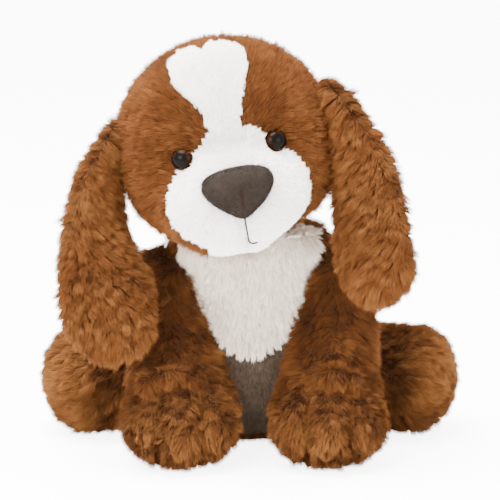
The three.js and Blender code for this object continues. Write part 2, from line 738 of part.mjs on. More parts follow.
function addEar(side, word) {
  const stations = earStations(side);
  const shape = { caps: [0.08, 0.16], rings: 8 };
  const neighbours = [
    headForm.grown.transform(head.matrixWorld.elements),
    torsoForm.grown,
    frontForms[word].grown,
  ];
  const layer = (face, cloth) => toSolid(loft(stations, layerSection(face, cloth, 6), shape));
  const front = layer(-1, EAR_CLOTH);
  const back = layer(1, EAR_CLOTH);
  addPiece(dog, `ear_front_${word}`, cutAway(front, ...neighbours), BROWN_PLUSH);
  addPiece(dog, `ear_back_${word}`, cutAway(back, ...neighbours), BROWN_PLUSH);
  const rooms = [-1, 1].map((face) => layer(face, EAR_CLOTH + FIT_GAP));
  const pad = cutAway(toSolid(loft(stations, padSection(EAR_CLOTH, 12), shape)), ...rooms);
  addPiece(dog, `ear_pad_${word}`, cutAway(pad, ...neighbours), FIBRE);
}

// Tail: a short stub that lies back from the seat, round where it meets the torso.
function addTail() {
  const form = stuffedForm(loft(
    [
      [0, TAIL_ROOT_Y - TAIL_RADIUS, TAIL_ROOT_Z, TAIL_RADIUS, TAIL_RADIUS],
      [0, TAIL_ROOT_Y, TAIL_ROOT_Z, TAIL_RADIUS, TAIL_RADIUS],
      [0, (TAIL_ROOT_Y + TAIL_TIP_Y) / 2, TAIL_ROOT_Z + 2, TAIL_RADIUS, TAIL_RADIUS],
      [0, TAIL_TIP_Y, TAIL_ROOT_Z + 8, TAIL_RADIUS - 3, TAIL_RADIUS - 3],
    ],
    ellipseSection(LIMB_SEGMENTS),
    { caps: [TAIL_RADIUS / (TAIL_TIP_Y - TAIL_ROOT_Y + TAIL_RADIUS), 0.4], rings: 8 },
  ), PLUSH - 1);
  const opening = drum([0, 0, 0], TAIL_OPENING.radius, TAIL_OPENING.length).rotate([90, 0, 0]);
  const at = [0, TAIL_ROOT_Y - TAIL_RADIUS, TAIL_ROOT_Z];
  const skin = cutAway(form.outside.subtract(form.inside), torsoForm.grown, opening.translate(at));
  addPiece(dog, 'tail_skin', skin, BROWN_PLUSH);
  addPiece(dog, 'tail_stuffing', form.filling.subtract(torsoForm.grown), FIBRE);
}

// A thread drawn over a form: each of its points is found from outside, along a line inwards.
function drawnThread(geometry, lines) {
  const form = new THREE.Mesh(geometry, new THREE.MeshStandardMaterial({ side: THREE.DoubleSide }));
  const points = lines.map(([from, to]) => {
    const start = new THREE.Vector3(...from);
    const inwards = new THREE.Vector3(...to).sub(start).normalize();
    const hit = new THREE.Raycaster(start, inwards).intersectObject(form)[0].point;
    return hit.addScaledVector(inwards, -THREAD_RADIUS - FIT_GAP);
  });
  return toSolid(thread(points, THREAD_RADIUS));
}

// Toe stitches: two threads over each front paw, pulled in to mark three toes.
function addToeStitches(side, word, geometry) {
  const paw = PAW_X[word];
  const heart = [PAW_CENTRE_Y - 4, 24];
  for (const [share, place] of [[-1, 'inner'], [1, 'outer']]) {
    const x = paw + side * share * TOE_STITCH_OFFSET;
    const lines = [];
    for (let i = 0; i <= 6; i += 1) {
      const angle = degrees(100 - 14 * i);
      const from = [x, heart[0] - FAR * Math.sin(angle), heart[1] + FAR * Math.cos(angle)];
      lines.push([from, [x, ...heart]]);
    }
    const stitch = drawnThread(geometry, lines).subtract(frontForms[word].grown);
    addPiece(dog, `toe_stitch_${word}_${place}`, stitch, BROWN_THREAD);
  }
}

// Trim: the hand-sewn seam that closes the back, and a blank care label near the tail.
function addTrim() {
  const lines = [];
  for (let i = 0; i < CLOSING_STITCHES; i += 1) {
    const x = i % 2 === 0 ? -CLOSING_STITCH_WIDTH / 2 : CLOSING_STITCH_WIDTH / 2;
    const z = CLOSING_SEAM_LOW + (i * CLOSING_SEAM_LENGTH) / (CLOSING_STITCHES - 1);
    lines.push([[x, FAR, z], [x, 0, z]]);
  }
  const seam = drawnThread(torsoGeometry, lines).subtract(torsoForm.grown);
  addPiece(dog, 'closing_stitch', seam, BROWN_THREAD);
  const label = box([-LABEL_THICKNESS / 2, 0, 0], [LABEL_THICKNESS / 2, LABEL_LENGTH, LABEL_WIDTH]);
  const placed = label.rotate([0, 0, LABEL_TURN]).translate(LABEL_AT);
  addPiece(dog, 'care_label', placed.subtract(torsoForm.grown), SATIN);
}

addTorso();
addNeck();
addHead();
for (const [side, word] of SIDES) {
  addFrontLeg(side, word);
  addHindLeg(side, word);
  addEar(side, word);
}
addTail();
addTrim();

export default dog;
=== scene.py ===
# %% [markdown]
# # A seated plush puppy
#
# The toy is sewn from plush, a knitted cloth with a standing pile, and filled with fibre. Its
# frame, joints and sizes come from a imported CAD model. This file dresses that frame: it makes each
# sewn skin, stuffs it with a cloth simulation, grows its pile strand by strand, and adds the face
# and the stitches. Each piece it makes, but the ears and their pile, rides on the body that it is
# sewn to, so it moves with the joints.

import math

import bpy
import numpy as np
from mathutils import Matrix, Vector
from mathutils.bvhtree import BVHTree
from mathutils.kdtree import KDTree


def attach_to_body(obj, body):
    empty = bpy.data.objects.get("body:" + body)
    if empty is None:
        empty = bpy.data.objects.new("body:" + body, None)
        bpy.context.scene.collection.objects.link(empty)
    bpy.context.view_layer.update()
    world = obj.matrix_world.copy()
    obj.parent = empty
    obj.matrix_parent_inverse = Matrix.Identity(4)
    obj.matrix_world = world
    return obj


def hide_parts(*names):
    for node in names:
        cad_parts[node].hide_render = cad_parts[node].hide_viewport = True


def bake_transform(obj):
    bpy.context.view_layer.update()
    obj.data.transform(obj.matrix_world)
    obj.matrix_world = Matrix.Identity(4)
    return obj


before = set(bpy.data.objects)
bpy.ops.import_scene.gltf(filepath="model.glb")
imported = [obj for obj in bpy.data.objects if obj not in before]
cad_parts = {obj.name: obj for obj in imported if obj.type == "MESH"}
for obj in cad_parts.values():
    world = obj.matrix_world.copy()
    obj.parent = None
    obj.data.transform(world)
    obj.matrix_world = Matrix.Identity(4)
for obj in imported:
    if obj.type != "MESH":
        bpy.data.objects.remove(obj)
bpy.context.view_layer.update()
MM = 0.001

# %% [markdown]
# ## Studio
#
# A toy like this is usually shown on a white sweep under large soft lights, so that the pile shades
# itself and throws only a soft shadow. The sweep could be a plane and a world colour, or a curved
# sheet. A plane is enough here, because the camera looks down on it and never sees its end. The
# camera stands far off with a long lens, a little above the toy.


# %% Camera
def placed(name, data):
    """A new object in the scene, made of this mesh, lamp or camera."""
    thing = bpy.data.objects.new(name, data)
    bpy.context.scene.collection.objects.link(thing)
    return thing


CAMERA_TURN_UP = math.radians(12)
CAMERA_AWAY = 2.0
VIEW_WIDTH = 0.31
SENSOR_WIDTH = 36
aim = Vector((0, -0.02, 0.1267))

camera_data = bpy.data.cameras.new("long_lens")
camera_data.sensor_width = SENSOR_WIDTH
camera_data.lens = SENSOR_WIDTH * CAMERA_AWAY / VIEW_WIDTH
camera = placed("camera", camera_data)
camera.location = aim + CAMERA_AWAY * Vector((0, -math.cos(CAMERA_TURN_UP), math.sin(CAMERA_TURN_UP)))
camera.rotation_euler = (math.pi / 2 - CAMERA_TURN_UP, 0, 0)
bpy.context.scene.camera = camera
print("lens:", round(camera_data.lens), "mm")


# %% Sweep and soft lights
def soft_light(name, place, size, power):
    """A large square lamp that faces the toy."""
    data = bpy.data.lights.new(name, "AREA")
    data.size = size
    data.energy = power
    lamp = placed(name, data)
    lamp.location = place
    lamp.rotation_euler = (aim - Vector(place)).to_track_quat("-Z", "Y").to_euler()


def new_material(name):
    """A material, its node tree and its Principled shader."""
    material = bpy.data.materials.new(name)
    material.use_nodes = True
    return material, material.node_tree, material.node_tree.nodes["Principled BSDF"]


AIR_STRENGTH = 4.4
SWEEP_GLOW = 6.0
SWEEP_HALF = 9
soft_light("overhead", (-0.35, -0.25, 1.5), size=1.1, power=140)
soft_light("front_left", (-1.1, -1.5, 0.8), size=1.0, power=66)
soft_light("front_right", (1.2, -1.4, 0.6), size=1.0, power=30)

world = bpy.data.worlds.new("studio_air")
world.use_nodes = True
air = world.node_tree.nodes["Background"]
air.inputs["Color"].default_value = (1, 1, 1, 1)
air.inputs["Strength"].default_value = AIR_STRENGTH
bpy.context.scene.world = world

sweep_mesh = bpy.data.meshes.new("sweep")
sweep_corners = [(x * SWEEP_HALF, y * SWEEP_HALF, 0) for x, y in ((-1, -1), (1, -1), (1, 1), (-1, 1))]
sweep_mesh.from_pydata(sweep_corners, [], [(0, 1, 2, 3)])
white_sweep, tree, surface = new_material("white_sweep")
surface.inputs["Base Color"].default_value = (0.93, 0.925, 0.915, 1)
surface.inputs["Roughness"].default_value = 0.7
surface.inputs["Emission Color"].default_value = (1, 0.995, 0.985, 1)
seen = tree.nodes.new("ShaderNodeLightPath").outputs["Is Camera Ray"]
glow = tree.nodes.new("ShaderNodeMath")
glow.operation = "MULTIPLY"
glow.inputs[1].default_value = SWEEP_GLOW
tree.links.new(seen, glow.inputs[0])
tree.links.new(glow.outputs[0], surface.inputs["Emission Strength"])
sweep_mesh.materials.append(white_sweep)
sweep = placed("sweep", sweep_mesh)

# %% [markdown]
# ## Colour groups
#
# One strand of plush is darker at its foot, where light can't reach, and paler at its tip. Strands
# also differ from each other, and tufts differ from tufts. Each strand carries two values: tint,
# which is its place between the dark and the pale dye, and height, which runs from foot to tip. A
# node group turns the two into a colour, so each plush keeps its own dyes and shares the effect.


# %% Node group helpers
def node_group(name, inputs, outputs):
    """An empty shader group with named sockets: (name, kind, default)."""
    group = bpy.data.node_groups.new(name, "ShaderNodeTree")
    for socket_name, kind, default in inputs:
        socket = group.interface.new_socket(name=socket_name, in_out="INPUT", socket_type=kind)
        socket.default_value = default
    for socket_name, kind in outputs:
        group.interface.new_socket(name=socket_name, in_out="OUTPUT", socket_type=kind)
    return group, group.nodes.new("NodeGroupInput"), group.nodes.new("NodeGroupOutput")


def feed(tree, value, socket):
    """Sets a socket to a number or a colour, or links another node's output to it."""
    if isinstance(value, (int, float, tuple)):
        socket.default_value = value
    else:
        tree.links.new(value, socket)


def number_node(tree, operation, *values, clamp=False):
    """A Math node. Each value is a number or another node's output."""
    node = tree.nodes.new("ShaderNodeMath")
    node.operation = operation
    node.use_clamp = clamp
    for socket, value in zip(node.inputs, values):
        feed(tree, value, socket)
    return node.outputs[0]


def colour_mix(tree, factor, first, second, kind="MIX"):
    """A Mix node for colours."""
    node = tree.nodes.new("ShaderNodeMix")
    node.data_type = "RGBA"
    node.blend_type = kind
    for number, value in ((0, factor), (6, first), (7, second)):
        feed(tree, value, node.inputs[number])
    return node.outputs[2]


def texture_node(tree, kind, scale):
    """A texture over the piece's own coordinates."""
    place = tree.nodes.new("ShaderNodeTexCoord")
    node = tree.nodes.new(kind)
    tree.links.new(place.outputs["Object"], node.inputs["Vector"])
    feed(tree, scale, node.inputs["Scale"])
    return node


def noise_node(tree, scale, detail, roughness=0.55):
    node = texture_node(tree, "ShaderNodeTexNoise", scale)
    node.inputs["Detail"].default_value = detail
    node.inputs["Roughness"].default_value = roughness
    return node.outputs["Fac"]


def attribute_node(tree, name):
    """A value that each point of a mesh carries."""
    node = tree.nodes.new("ShaderNodeAttribute")
    node.attribute_name = name
    return node.outputs["Fac"]


# %% Group: strand colour
COLOUR = "NodeSocketColor"
NUMBER = "NodeSocketFloat"
PALE = (0.8, 0.8, 0.8, 1)
COLOUR_AND_HEIGHT = [("Colour", COLOUR), ("Height", NUMBER)]

strand_colour, given, made = node_group(
    "strand_colour",
    [(dye, COLOUR, PALE) for dye in ("Dark Dye", "Middle Dye", "Pale Dye")] + [("Foot Shade", NUMBER, 0.5)],
    [("Colour", COLOUR)],
)
tint = attribute_node(strand_colour, "tint")
height = attribute_node(strand_colour, "height")
lower = number_node(strand_colour, "MULTIPLY", tint, 2.0, clamp=True)
above = number_node(strand_colour, "SUBTRACT", tint, 0.5)
upper = number_node(strand_colour, "MULTIPLY", above, 2.0, clamp=True)
dyed = colour_mix(strand_colour, lower, given.outputs["Dark Dye"], given.outputs["Middle Dye"])
dyed = colour_mix(strand_colour, upper, dyed, given.outputs["Pale Dye"])
rise = number_node(strand_colour, "POWER", height, 0.7)
missing = number_node(strand_colour, "SUBTRACT", 1.0, given.outputs["Foot Shade"])
gained = number_node(strand_colour, "MULTIPLY", missing, rise)
shade = number_node(strand_colour, "ADD", given.outputs["Foot Shade"], gained)
grey = strand_colour.nodes.new("ShaderNodeCombineColor")
for channel in ("Red", "Green", "Blue"):
    strand_colour.links.new(shade, grey.inputs[channel])
shaded = colour_mix(strand_colour, 1.0, dyed, grey.outputs[0], kind="MULTIPLY")
strand_colour.links.new(shaded, made.inputs["Colour"])

# %% Group: knitted cloth
knitted_cloth, given, made = node_group(
    "knitted_cloth",
    [("Yarn", COLOUR, PALE), ("Gap", COLOUR, PALE), ("Stitch Scale", NUMBER, 900.0)],
    COLOUR_AND_HEIGHT,
)
place = knitted_cloth.nodes.new("ShaderNodeTexCoord")
stretch = knitted_cloth.nodes.new("ShaderNodeVectorMath")
stretch.operation = "SCALE"
knitted_cloth.links.new(place.outputs["Object"], stretch.inputs[0])
knitted_cloth.links.new(given.outputs["Stitch Scale"], stretch.inputs["Scale"])
loops = knitted_cloth.nodes.new("ShaderNodeTexVoronoi")
loops.inputs["Scale"].default_value = 1.0
knitted_cloth.links.new(stretch.outputs[0], loops.inputs["Vector"])
# Where the loops leave gaps the bump is low and the colour turns to Gap: painted shade in the hollows between the
# loops.
gap = number_node(knitted_cloth, "MULTIPLY", loops.outputs["Distance"], 1.2, clamp=True)
knit_colour = colour_mix(knitted_cloth, gap, given.outputs["Yarn"], given.outputs["Gap"])
knitted_cloth.links.new(knit_colour, made.inputs["Colour"])
knitted_cloth.links.new(number_node(knitted_cloth, "SUBTRACT", 1.0, gap), made.inputs["Height"])

# %% Group: short nap
short_nap, given, made = node_group(
    "short_nap",
    [
        ("Dark", COLOUR, PALE), ("Light", COLOUR, PALE),
        ("Nap Scale", NUMBER, 1500.0), ("Patch Scale", NUMBER, 60.0),
    ],
    COLOUR_AND_HEIGHT,
)
fine = noise_node(short_nap, given.outputs["Nap Scale"], 4.0, 0.7)
patches = noise_node(short_nap, given.outputs["Patch Scale"], 2.0)
both = number_node(short_nap, "ADD", fine, patches)
above = number_node(short_nap, "SUBTRACT", both, 0.62)
spread = number_node(short_nap, "MULTIPLY", above, 1.6, clamp=True)
nap_colour = colour_mix(short_nap, spread, given.outputs["Dark"], given.outputs["Light"])
short_nap.links.new(nap_colour, made.inputs["Colour"])
short_nap.links.new(fine, made.inputs["Height"])

# %% Group: twisted thread
twisted_thread, given, made = node_group(
    "twisted_thread",
    [("Ply", COLOUR, PALE), ("Groove", COLOUR, PALE), ("Twist Scale", NUMBER, 420.0)],
    COLOUR_AND_HEIGHT,
)
plies = texture_node(twisted_thread, "ShaderNodeTexWave", given.outputs["Twist Scale"])
plies.bands_direction = "DIAGONAL"
plies.inputs["Distortion"].default_value = 1.5
# The grooves between the plies are low in the bump and take the darker Groove colour: painted shade in the grooves.
ply_colour = colour_mix(twisted_thread, plies.outputs["Fac"], given.outputs["Groove"], given.outputs["Ply"])
twisted_thread.links.new(ply_colour, made.inputs["Colour"])
twisted_thread.links.new(plies.outputs["Fac"], made.inputs["Height"])
print("groups:", [g.name for g in bpy.data.node_groups])

# %% [markdown]
# ## Materials
#
# The plush of the coat is one yarn dyed chestnut, so a single material with three dyes covers the
# brown pieces. The face is a shorter white plush, the bib a longer cream one, and the tummy a
# taupe one, whose dyes are darkened with painted shade, since the tummy lies in shade low between
# the legs. Under each pile lies its knitted backing, which hardly shows. The rest is velour for
# the nose, thread, loose fibre and hard plastic.


# %% Material makers
RELIEF_DISTANCE = 0.0006


def group_material(name, group, values, roughness, sheen=0.0, specular=0.3, bump=0.0):
    """A Principled material whose colour, and height if it bumps, come from a node group."""
    material, tree, surface = new_material(name)
    node = tree.nodes.new("ShaderNodeGroup")
    node.node_tree = group
    for socket_name, value in values.items():
        node.inputs[socket_name].default_value = (*value, 1) if isinstance(value, tuple) else value
    tree.links.new(node.outputs["Colour"], surface.inputs["Base Color"])
    finish = {"Roughness": roughness, "Sheen Weight": sheen, "Sheen Roughness": 0.5}
    for socket_name, value in {**finish, "Specular IOR Level": specular}.items():
        surface.inputs[socket_name].default_value = value
    if bump:
        relief = tree.nodes.new("ShaderNodeBump")
        relief.inputs["Strength"].default_value = bump
        relief.inputs["Distance"].default_value = RELIEF_DISTANCE
        tree.links.new(node.outputs["Height"], relief.inputs["Height"])
        tree.links.new(relief.outputs["Normal"], surface.inputs["Normal"])
    return material


def pile_material(name, dark, middle, pale, foot):
    dyes = {"Dark Dye": dark, "Middle Dye": middle, "Pale Dye": pale, "Foot Shade": foot}
    return group_material(name, strand_colour, dyes, 0.75, sheen=0.015, specular=0.07)


# Each backing's gap colour is darker than its yarn: painted shade between the knitted loops.
def backing_material(name, yarn, gap):
    return group_material(name, knitted_cloth, {"Yarn": yarn, "Gap": gap}, 0.95, specular=0.1, bump=0.5)


# %% The toy's own finishes
brown_pile = pile_material(
    "brown_pile", (0.054, 0.0155, 0.0030), (0.098, 0.031, 0.0062), (0.175, 0.068, 0.018), 0.5
)
white_pile = pile_material("white_pile", (0.87, 0.84, 0.79), (0.96, 0.935, 0.90), (0.99, 0.975, 0.95), 0.85)
cream_pile = pile_material("cream_pile", (0.70, 0.58, 0.465), (0.82, 0.715, 0.605), (0.93, 0.84, 0.74), 0.75)
# Taupe plush whose dyes are made much darker as painted shade, because the tummy lies in shade low between the legs.
taupe_and_shade_pile = pile_material(
    "taupe_and_shade_pile", (0.048, 0.032, 0.021), (0.080, 0.054, 0.036), (0.125, 0.090, 0.064), 0.5
)
nose_pile = pile_material(
    "nose_pile", (0.005, 0.003, 0.0018), (0.010, 0.0062, 0.004), (0.034, 0.021, 0.014), 0.7
)
brown_backing = backing_material("brown_backing", (0.055, 0.016, 0.002), (0.03, 0.009, 0.001))
white_backing = backing_material("white_backing", (0.85, 0.83, 0.80), (0.62, 0.59, 0.55))
cream_backing = backing_material("cream_backing", (0.70, 0.65, 0.59), (0.45, 0.41, 0.36))
# The tummy's backing is darkened to match, with the same painted shade.
taupe_and_shade_backing = backing_material("taupe_and_shade_backing", (0.055, 0.037, 0.025), (0.03, 0.020, 0.014))
pouch_cloth = backing_material("pouch_cloth", (0.70, 0.66, 0.58), (0.42, 0.39, 0.33))
nose_velour = group_material(
    "nose_velour", short_nap,
    {"Dark": (0.006, 0.004, 0.0026), "Light": (0.016, 0.011, 0.008), "Nap Scale": 900.0},
    0.9, specular=0.1, bump=0.6,
)
loose_fibre = group_material(
    "loose_fibre", short_nap,
    {"Dark": (0.70, 0.68, 0.63), "Light": (0.93, 0.92, 0.88), "Nap Scale": 500.0, "Patch Scale": 90.0},
    0.95, bump=0.9,
)
# The thread's darker groove colour is painted shade between its plies.
brown_thread = group_material(
    "brown_thread", twisted_thread, {"Ply": (0.030, 0.013, 0.006), "Groove": (0.008, 0.0035, 0.0015)},
    0.8, specular=0.1, bump=0.8,
)
print("materials:", len(bpy.data.materials))

# %% [markdown]
# ## Skins
#
# A sewn skin is a shape that a person cuts from flat cloth. Here each one is a loft: an oval
# section carried along a smooth line, with its own width, thickness and turn at each station. The
# stations are the CAD frame's own. A skin lies under the frame's surface by the length of its
# pile, because the frame's solid is cloth and pile together.


# %% Smooth curves through stations
def smooth_path(points, shares):
    """Points on a curve through the given ones, spaced by their distances, at shares from 0 to 1."""
    points = np.asarray(points, float)
    spot = np.asarray(shares, float) * (len(points) - 1)
    first = np.minimum(spot.astype(int), len(points) - 2)
    along = (spot - first)[:, None]
    line = np.vstack([2 * points[0] - points[1], points, 2 * points[-1] - points[-2]])
    a, b, c, d = (line[first + k] for k in range(4))
    ab, bc, cd = (
        np.sqrt(np.maximum(np.linalg.norm(q - p, axis=1), 1e-9))[:, None] for p, q in ((a, b), (b, c), (c, d))
    )
    leave = ((b - a) / ab - (c - a) / (ab + bc) + (c - b) / bc) * bc
    arrive = ((c - b) / bc - (d - b) / (bc + cd) + (d - c) / cd) * bc
    return (
        b
        + leave * along
        + (-3 * b + 3 * c - 2 * leave - arrive) * along**2
        + (2 * b - 2 * c + leave + arrive) * along**3
    )


def unit(vectors):
    """Each row as a vector of length one."""
    return vectors / np.maximum(np.linalg.norm(vectors, axis=-1, keepdims=True), 1e-12)


# %% A loft of oval sections
def loft(stations, across=(1, 0, 0), caps=(0.15, 0.15), rings=44, around=56, level=False):
    """Stations are x, y, z, half width, half thickness and turn in degrees, in millimetres."""
    stations = np.array([list(s) + [0] * (6 - len(s)) for s in stations], float)
    share = (1 - np.cos(np.pi * np.arange(rings + 1) / rings)) / 2
    centre = smooth_path(stations[:, :3], share)
    girth = smooth_path(stations[:, 3:], share)
    ahead, behind = (smooth_path(stations[:, :3], np.clip(share + step, 0, 1)) for step in (0.002, -0.002))
    along = np.tile([0.0, 0.0, 1.0], (rings + 1, 1)) if level else unit(ahead - behind)
    lead = np.minimum(share / caps[0], 1)
    trail = np.minimum((1 - share) / caps[1], 1)
    rounding = np.sqrt(lead * (2 - lead) * trail * (2 - trail))
    wide = np.array(across, float) - along * (along @ np.array(across, float))[:, None]
    wide = unit(wide)
    turn = np.radians(girth[:, 2])[:, None]
    wide = wide * np.cos(turn) + np.cross(along, wide) * np.sin(turn)
    thick = np.cross(along, wide)
    angle = 2 * np.pi * np.arange(around) / around
    sweep_wide = (girth[:, 0] * rounding)[:, None] * np.cos(angle)
    sweep_thick = (girth[:, 1] * rounding)[:, None] * np.sin(angle)
    section = wide[:, None] * sweep_wide[..., None]
    return closed_rings(centre[:, None] + section + thick[:, None] * sweep_thick[..., None])


def closed_rings(points):
    """Vertices and faces of a tube of rings whose first and last ring shrink to one point each."""
    rings, around = points.shape[:2]
    vertices = np.vstack([points[0].mean(0)[None], points[1:-1].reshape(-1, 3), points[-1].mean(0)[None]])
    spot = lambda j, i: 1 + (j - 1) * around + i % around
    faces = [(0, spot(1, i + 1), spot(1, i)) for i in range(around)]
    for j in range(1, rings - 2):
        faces += [(spot(j, i), spot(j, i + 1), spot(j + 1, i + 1), spot(j + 1, i)) for i in range(around)]
    end = len(vertices) - 1
    faces += [(spot(rings - 2, i), spot(rings - 2, i + 1), end) for i in range(around)]
    return vertices, faces


# %% Meshes and their arrays
def mesh_piece(name, vertices, faces, material):
    """A Blender mesh from vertices in millimetres. Its faces turn outwards."""
    mesh = bpy.data.meshes.new(name)
    mesh.from_pydata((np.asarray(vertices, float) * MM).tolist(), [], [tuple(map(int, f)) for f in faces])
    mesh.update()
    piece = placed(name, mesh)
    if signed_volume(mesh) < 0:
        mesh.flip_normals()
    mesh.materials.append(material)
    mesh.polygons.foreach_set("use_smooth", [True] * len(mesh.polygons))
    return piece


def triples(items, field, kind=float):
    """One field of many items, three values to a row."""
    flat = np.empty(len(items) * 3, kind)
    items.foreach_get(field, flat)
    return flat.reshape(-1, 3)


def points_of(mesh):
    return triples(mesh.vertices, "co")


def normals_of(mesh):
    return triples(mesh.vertex_normals, "vector")


def set_points(mesh, points):
    mesh.vertices.foreach_set("co", np.asarray(points, float).ravel())
    mesh.update()


def triangles_of(mesh):
    mesh.calc_loop_triangles()
    return triples(mesh.loop_triangles, "vertices", int)


def tree_of(piece):
    """A skin's triangles in a search tree, for rays and nearest points."""
    return BVHTree.FromPolygons(points_of(piece.data).tolist(), triangles_of(piece.data).tolist())


def signed_volume(mesh):
    corners = points_of(mesh)[triangles_of(mesh)]
    return float(np.einsum("ij,ij->i", corners[:, 0], np.cross(corners[:, 1], corners[:, 2])).sum() / 6)


def set_above_floor(mesh, points):
    """Keeps a skin clear of the floor, so that its pile has room to lie under it."""
    points[:, 2] = np.maximum(points[:, 2], 0.6 * MM)
    set_points(mesh, points)


def press_in(piece, depth_mm):
    """Moves a skin inwards along its normals."""
    set_above_floor(piece.data, points_of(piece.data) - normals_of(piece.data) * depth_mm * MM)


# %% [markdown]
# ## Stuffing a skin
#
# A stuffed form is never as even as a drawn one: the fibre pushes the cloth out between its seams
# and leaves shallow hollows. Vertex moves could fake that, but a cloth simulation finds it by
# itself, so each skin is a cloth with pressure inside and no gravity. How far a point may move is
# capped, so that the toy keeps its size.


# %% Cloth with pressure
def stuff(piece, pressure=4.0, cap_mm=3.0, frames=16):
    """Inflates a closed skin with Blender's cloth and keeps the result."""
    before = points_of(piece.data)
    cloth = piece.modifiers.new("stuffing", "CLOTH")
    cloth.settings.use_pressure = True
    cloth.settings.uniform_pressure_force = pressure
    cloth.settings.effector_weights.gravity = 0
    cloth.settings.quality = 4
    cloth.settings.mass = 0.3
    cloth.settings.tension_stiffness = 12
    cloth.settings.compression_stiffness = 12
    cloth.settings.bending_stiffness = 0.6
    cloth.collision_settings.use_collision = False
    scene = bpy.context.scene
    for step in range(1, frames + 1):
        scene.frame_set(step)
    result = piece.evaluated_get(bpy.context.evaluated_depsgraph_get())
    after = points_of(result.data)
    piece.modifiers.remove(cloth)
    scene.frame_set(1)
    moved = after - before
    length = np.linalg.norm(moved, axis=1, keepdims=True)
    cap = cap_mm * MM
    soft = cap * np.tanh(length / cap) / np.maximum(length, 1e-12)
    set_above_floor(piece.data, before + moved * soft)
    print(piece.name, "moved by up to", round(float((length * soft).max()) / MM, 2), "mm")


# %% [markdown]
# ## Torso
#
# The torso is a pear that stands on a flat seat. The brown cloth wraps its sides and back, a bib
# of cream plush is let into the chest, and a taupe panel into the tummy, its dyes darkened with
# painted shade. One loft gives the whole form, and its faces are then shared out between the three
# cloths, so their seams meet exactly.

# %% Torso form
TORSO_TALL = 147
TORSO_WIDE = 60
TORSO_DEEP = 56
SEAT_MIDDLE = 14
# Each row is the height, the middle's place behind the seat's, half the width and half the depth.
# All but the second are shares of the torso's own sizes.
TORSO_ROWS = [
    (-0.03, 6, 0.46, 0.40), (0, 6, 0.56, 0.50), (0.07, 3, 0.84, 0.78), (0.24, 0, 1, 1),
    (0.43, -2, 0.98, 0.97), (0.58, -6, 0.92, 0.88), (0.73, -12, 0.88, 0.80), (0.87, -20, 0.90, 0.74), (1, -26, 0.74, 0.62),
]
torso_stations = [
    (0, SEAT_MIDDLE + back, tall * TORSO_TALL, wide * TORSO_WIDE, deep * TORSO_DEEP)
    for tall, back, wide, deep in TORSO_ROWS
]
torso_form = mesh_piece(
    "torso_form", *loft(torso_stations, caps=(0.01, 0.05), rings=84, around=120, level=True), brown_backing
)
press_in(torso_form, 5)


# %% Outlines on the cloth
def closed_outline(points, count=160):
    """A smooth closed line through the corners of a pattern piece."""
    ring = np.array(points, float)
    wrapped = np.vstack([ring[-2:], ring, ring[:3]])
    whole = len(ring)
    shares = (2 + np.arange(count) * whole / count) / (len(wrapped) - 1)
    return smooth_path(wrapped, shares)


def within(spots, ring):
    """True for each spot (two columns) that lies inside a closed line."""
    inside = np.zeros(len(spots), bool)
    x, y = spots[:, 0], spots[:, 1]
    for (ax, ay), (bx, by) in zip(ring, np.roll(ring, -1, axis=0)):
        if ay == by:
            continue
        crosses = (ay > y) != (by > y)
        inside ^= crosses & (x < (bx - ax) * (y - ay) / (by - ay) + ax)
    return inside


PANEL_BEHIND = -16
BIB = [(-34, 150), (-44, 124), (-46, 108), (-38, 94), (-26, 79), (-13, 67), (0, 62)]
BIB += [(-x, z) for x, z in BIB[-2::-1]]
bib_line = closed_outline(BIB)
TUMMY = np.array([(-40, -20), (40, -20), (43, 40), (38, 93), (-38, 93), (-43, 40)], float)


def torso_cloth(points):
    """Which cloth covers each point of the torso: 0 brown, 1 bib, 2 tummy. Points in metres."""
    front = points[:, 1] < PANEL_BEHIND * MM
    spots = points[:, (0, 2)] / MM
    which = np.zeros(len(points), int)
    which[front & within(spots, TUMMY)] = 2
    which[front & within(spots, bib_line)] = 1
    return which


# %% Share a form out between its cloths
def share_out(form, which_of, names, materials):
    """Cuts a form's faces into one open piece for each cloth, with the seams in common."""
    mesh = form.data
    points = points_of(mesh)
    centres = np.array([p.center for p in mesh.polygons])
    which = which_of(centres)
    made_pieces = []
    for number, (name, material) in enumerate(zip(names, materials)):
        faces = [tuple(mesh.polygons[int(i)].vertices) for i in np.flatnonzero(which == number)]
        used = sorted({v for f in faces for v in f})
        index = {v: k for k, v in enumerate(used)}
        part = bpy.data.meshes.new(name)
        part.from_pydata(points[used].tolist(), [], [tuple(index[v] for v in f) for f in faces])
        part.materials.append(material)
        part.polygons.foreach_set("use_smooth", [True] * len(part.polygons))
        part.update()
        made_pieces.append(placed(name, part))
    return made_pieces


stuff(torso_form, cap_mm=2.5)
torso_cloths = share_out(
    torso_form,
    torso_cloth,
    ("torso_cloth", "bib_cloth", "tummy_cloth"),
    (brown_backing, cream_backing, taupe_and_shade_backing),
)
for piece, node, slot in zip(
    torso_cloths, ("torso_skin", "chest_bib", "tummy_panel"), ("brown_plush", "cream_plush", "taupe_plush")
):
    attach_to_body(piece, "torso")
    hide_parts(node)
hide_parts("torso_stuffing")

# %% [markdown]
# ## Head
#
# The head is a round skull that runs into a broad muzzle. Two ellipsoids blended by their reach
# from the head's centre give one smooth skin with a soft crease between them, as the real gusset
# seams do. The blaze, the muzzle and the chin are let in as panels of white plush.

# %% The head's own frame
HEAD_CENTRE = np.array([-18, -35, 200]) * MM
ROLL = math.radians(-10)
YAW = math.radians(6.5)
PITCH = math.radians(-12)
(cr, sr), (cy, sy), (cp, sp) = ((math.cos(turn), math.sin(turn)) for turn in (ROLL, YAW, PITCH))
roll_turn = np.array([[cr, 0, sr], [0, 1, 0], [-sr, 0, cr]])
yaw_turn = np.array([[cy, -sy, 0], [sy, cy, 0], [0, 0, 1]])
head_turn = yaw_turn @ roll_turn
face_turn = np.array([[1, 0, 0], [0, cp, -sp], [0, sp, cp]])


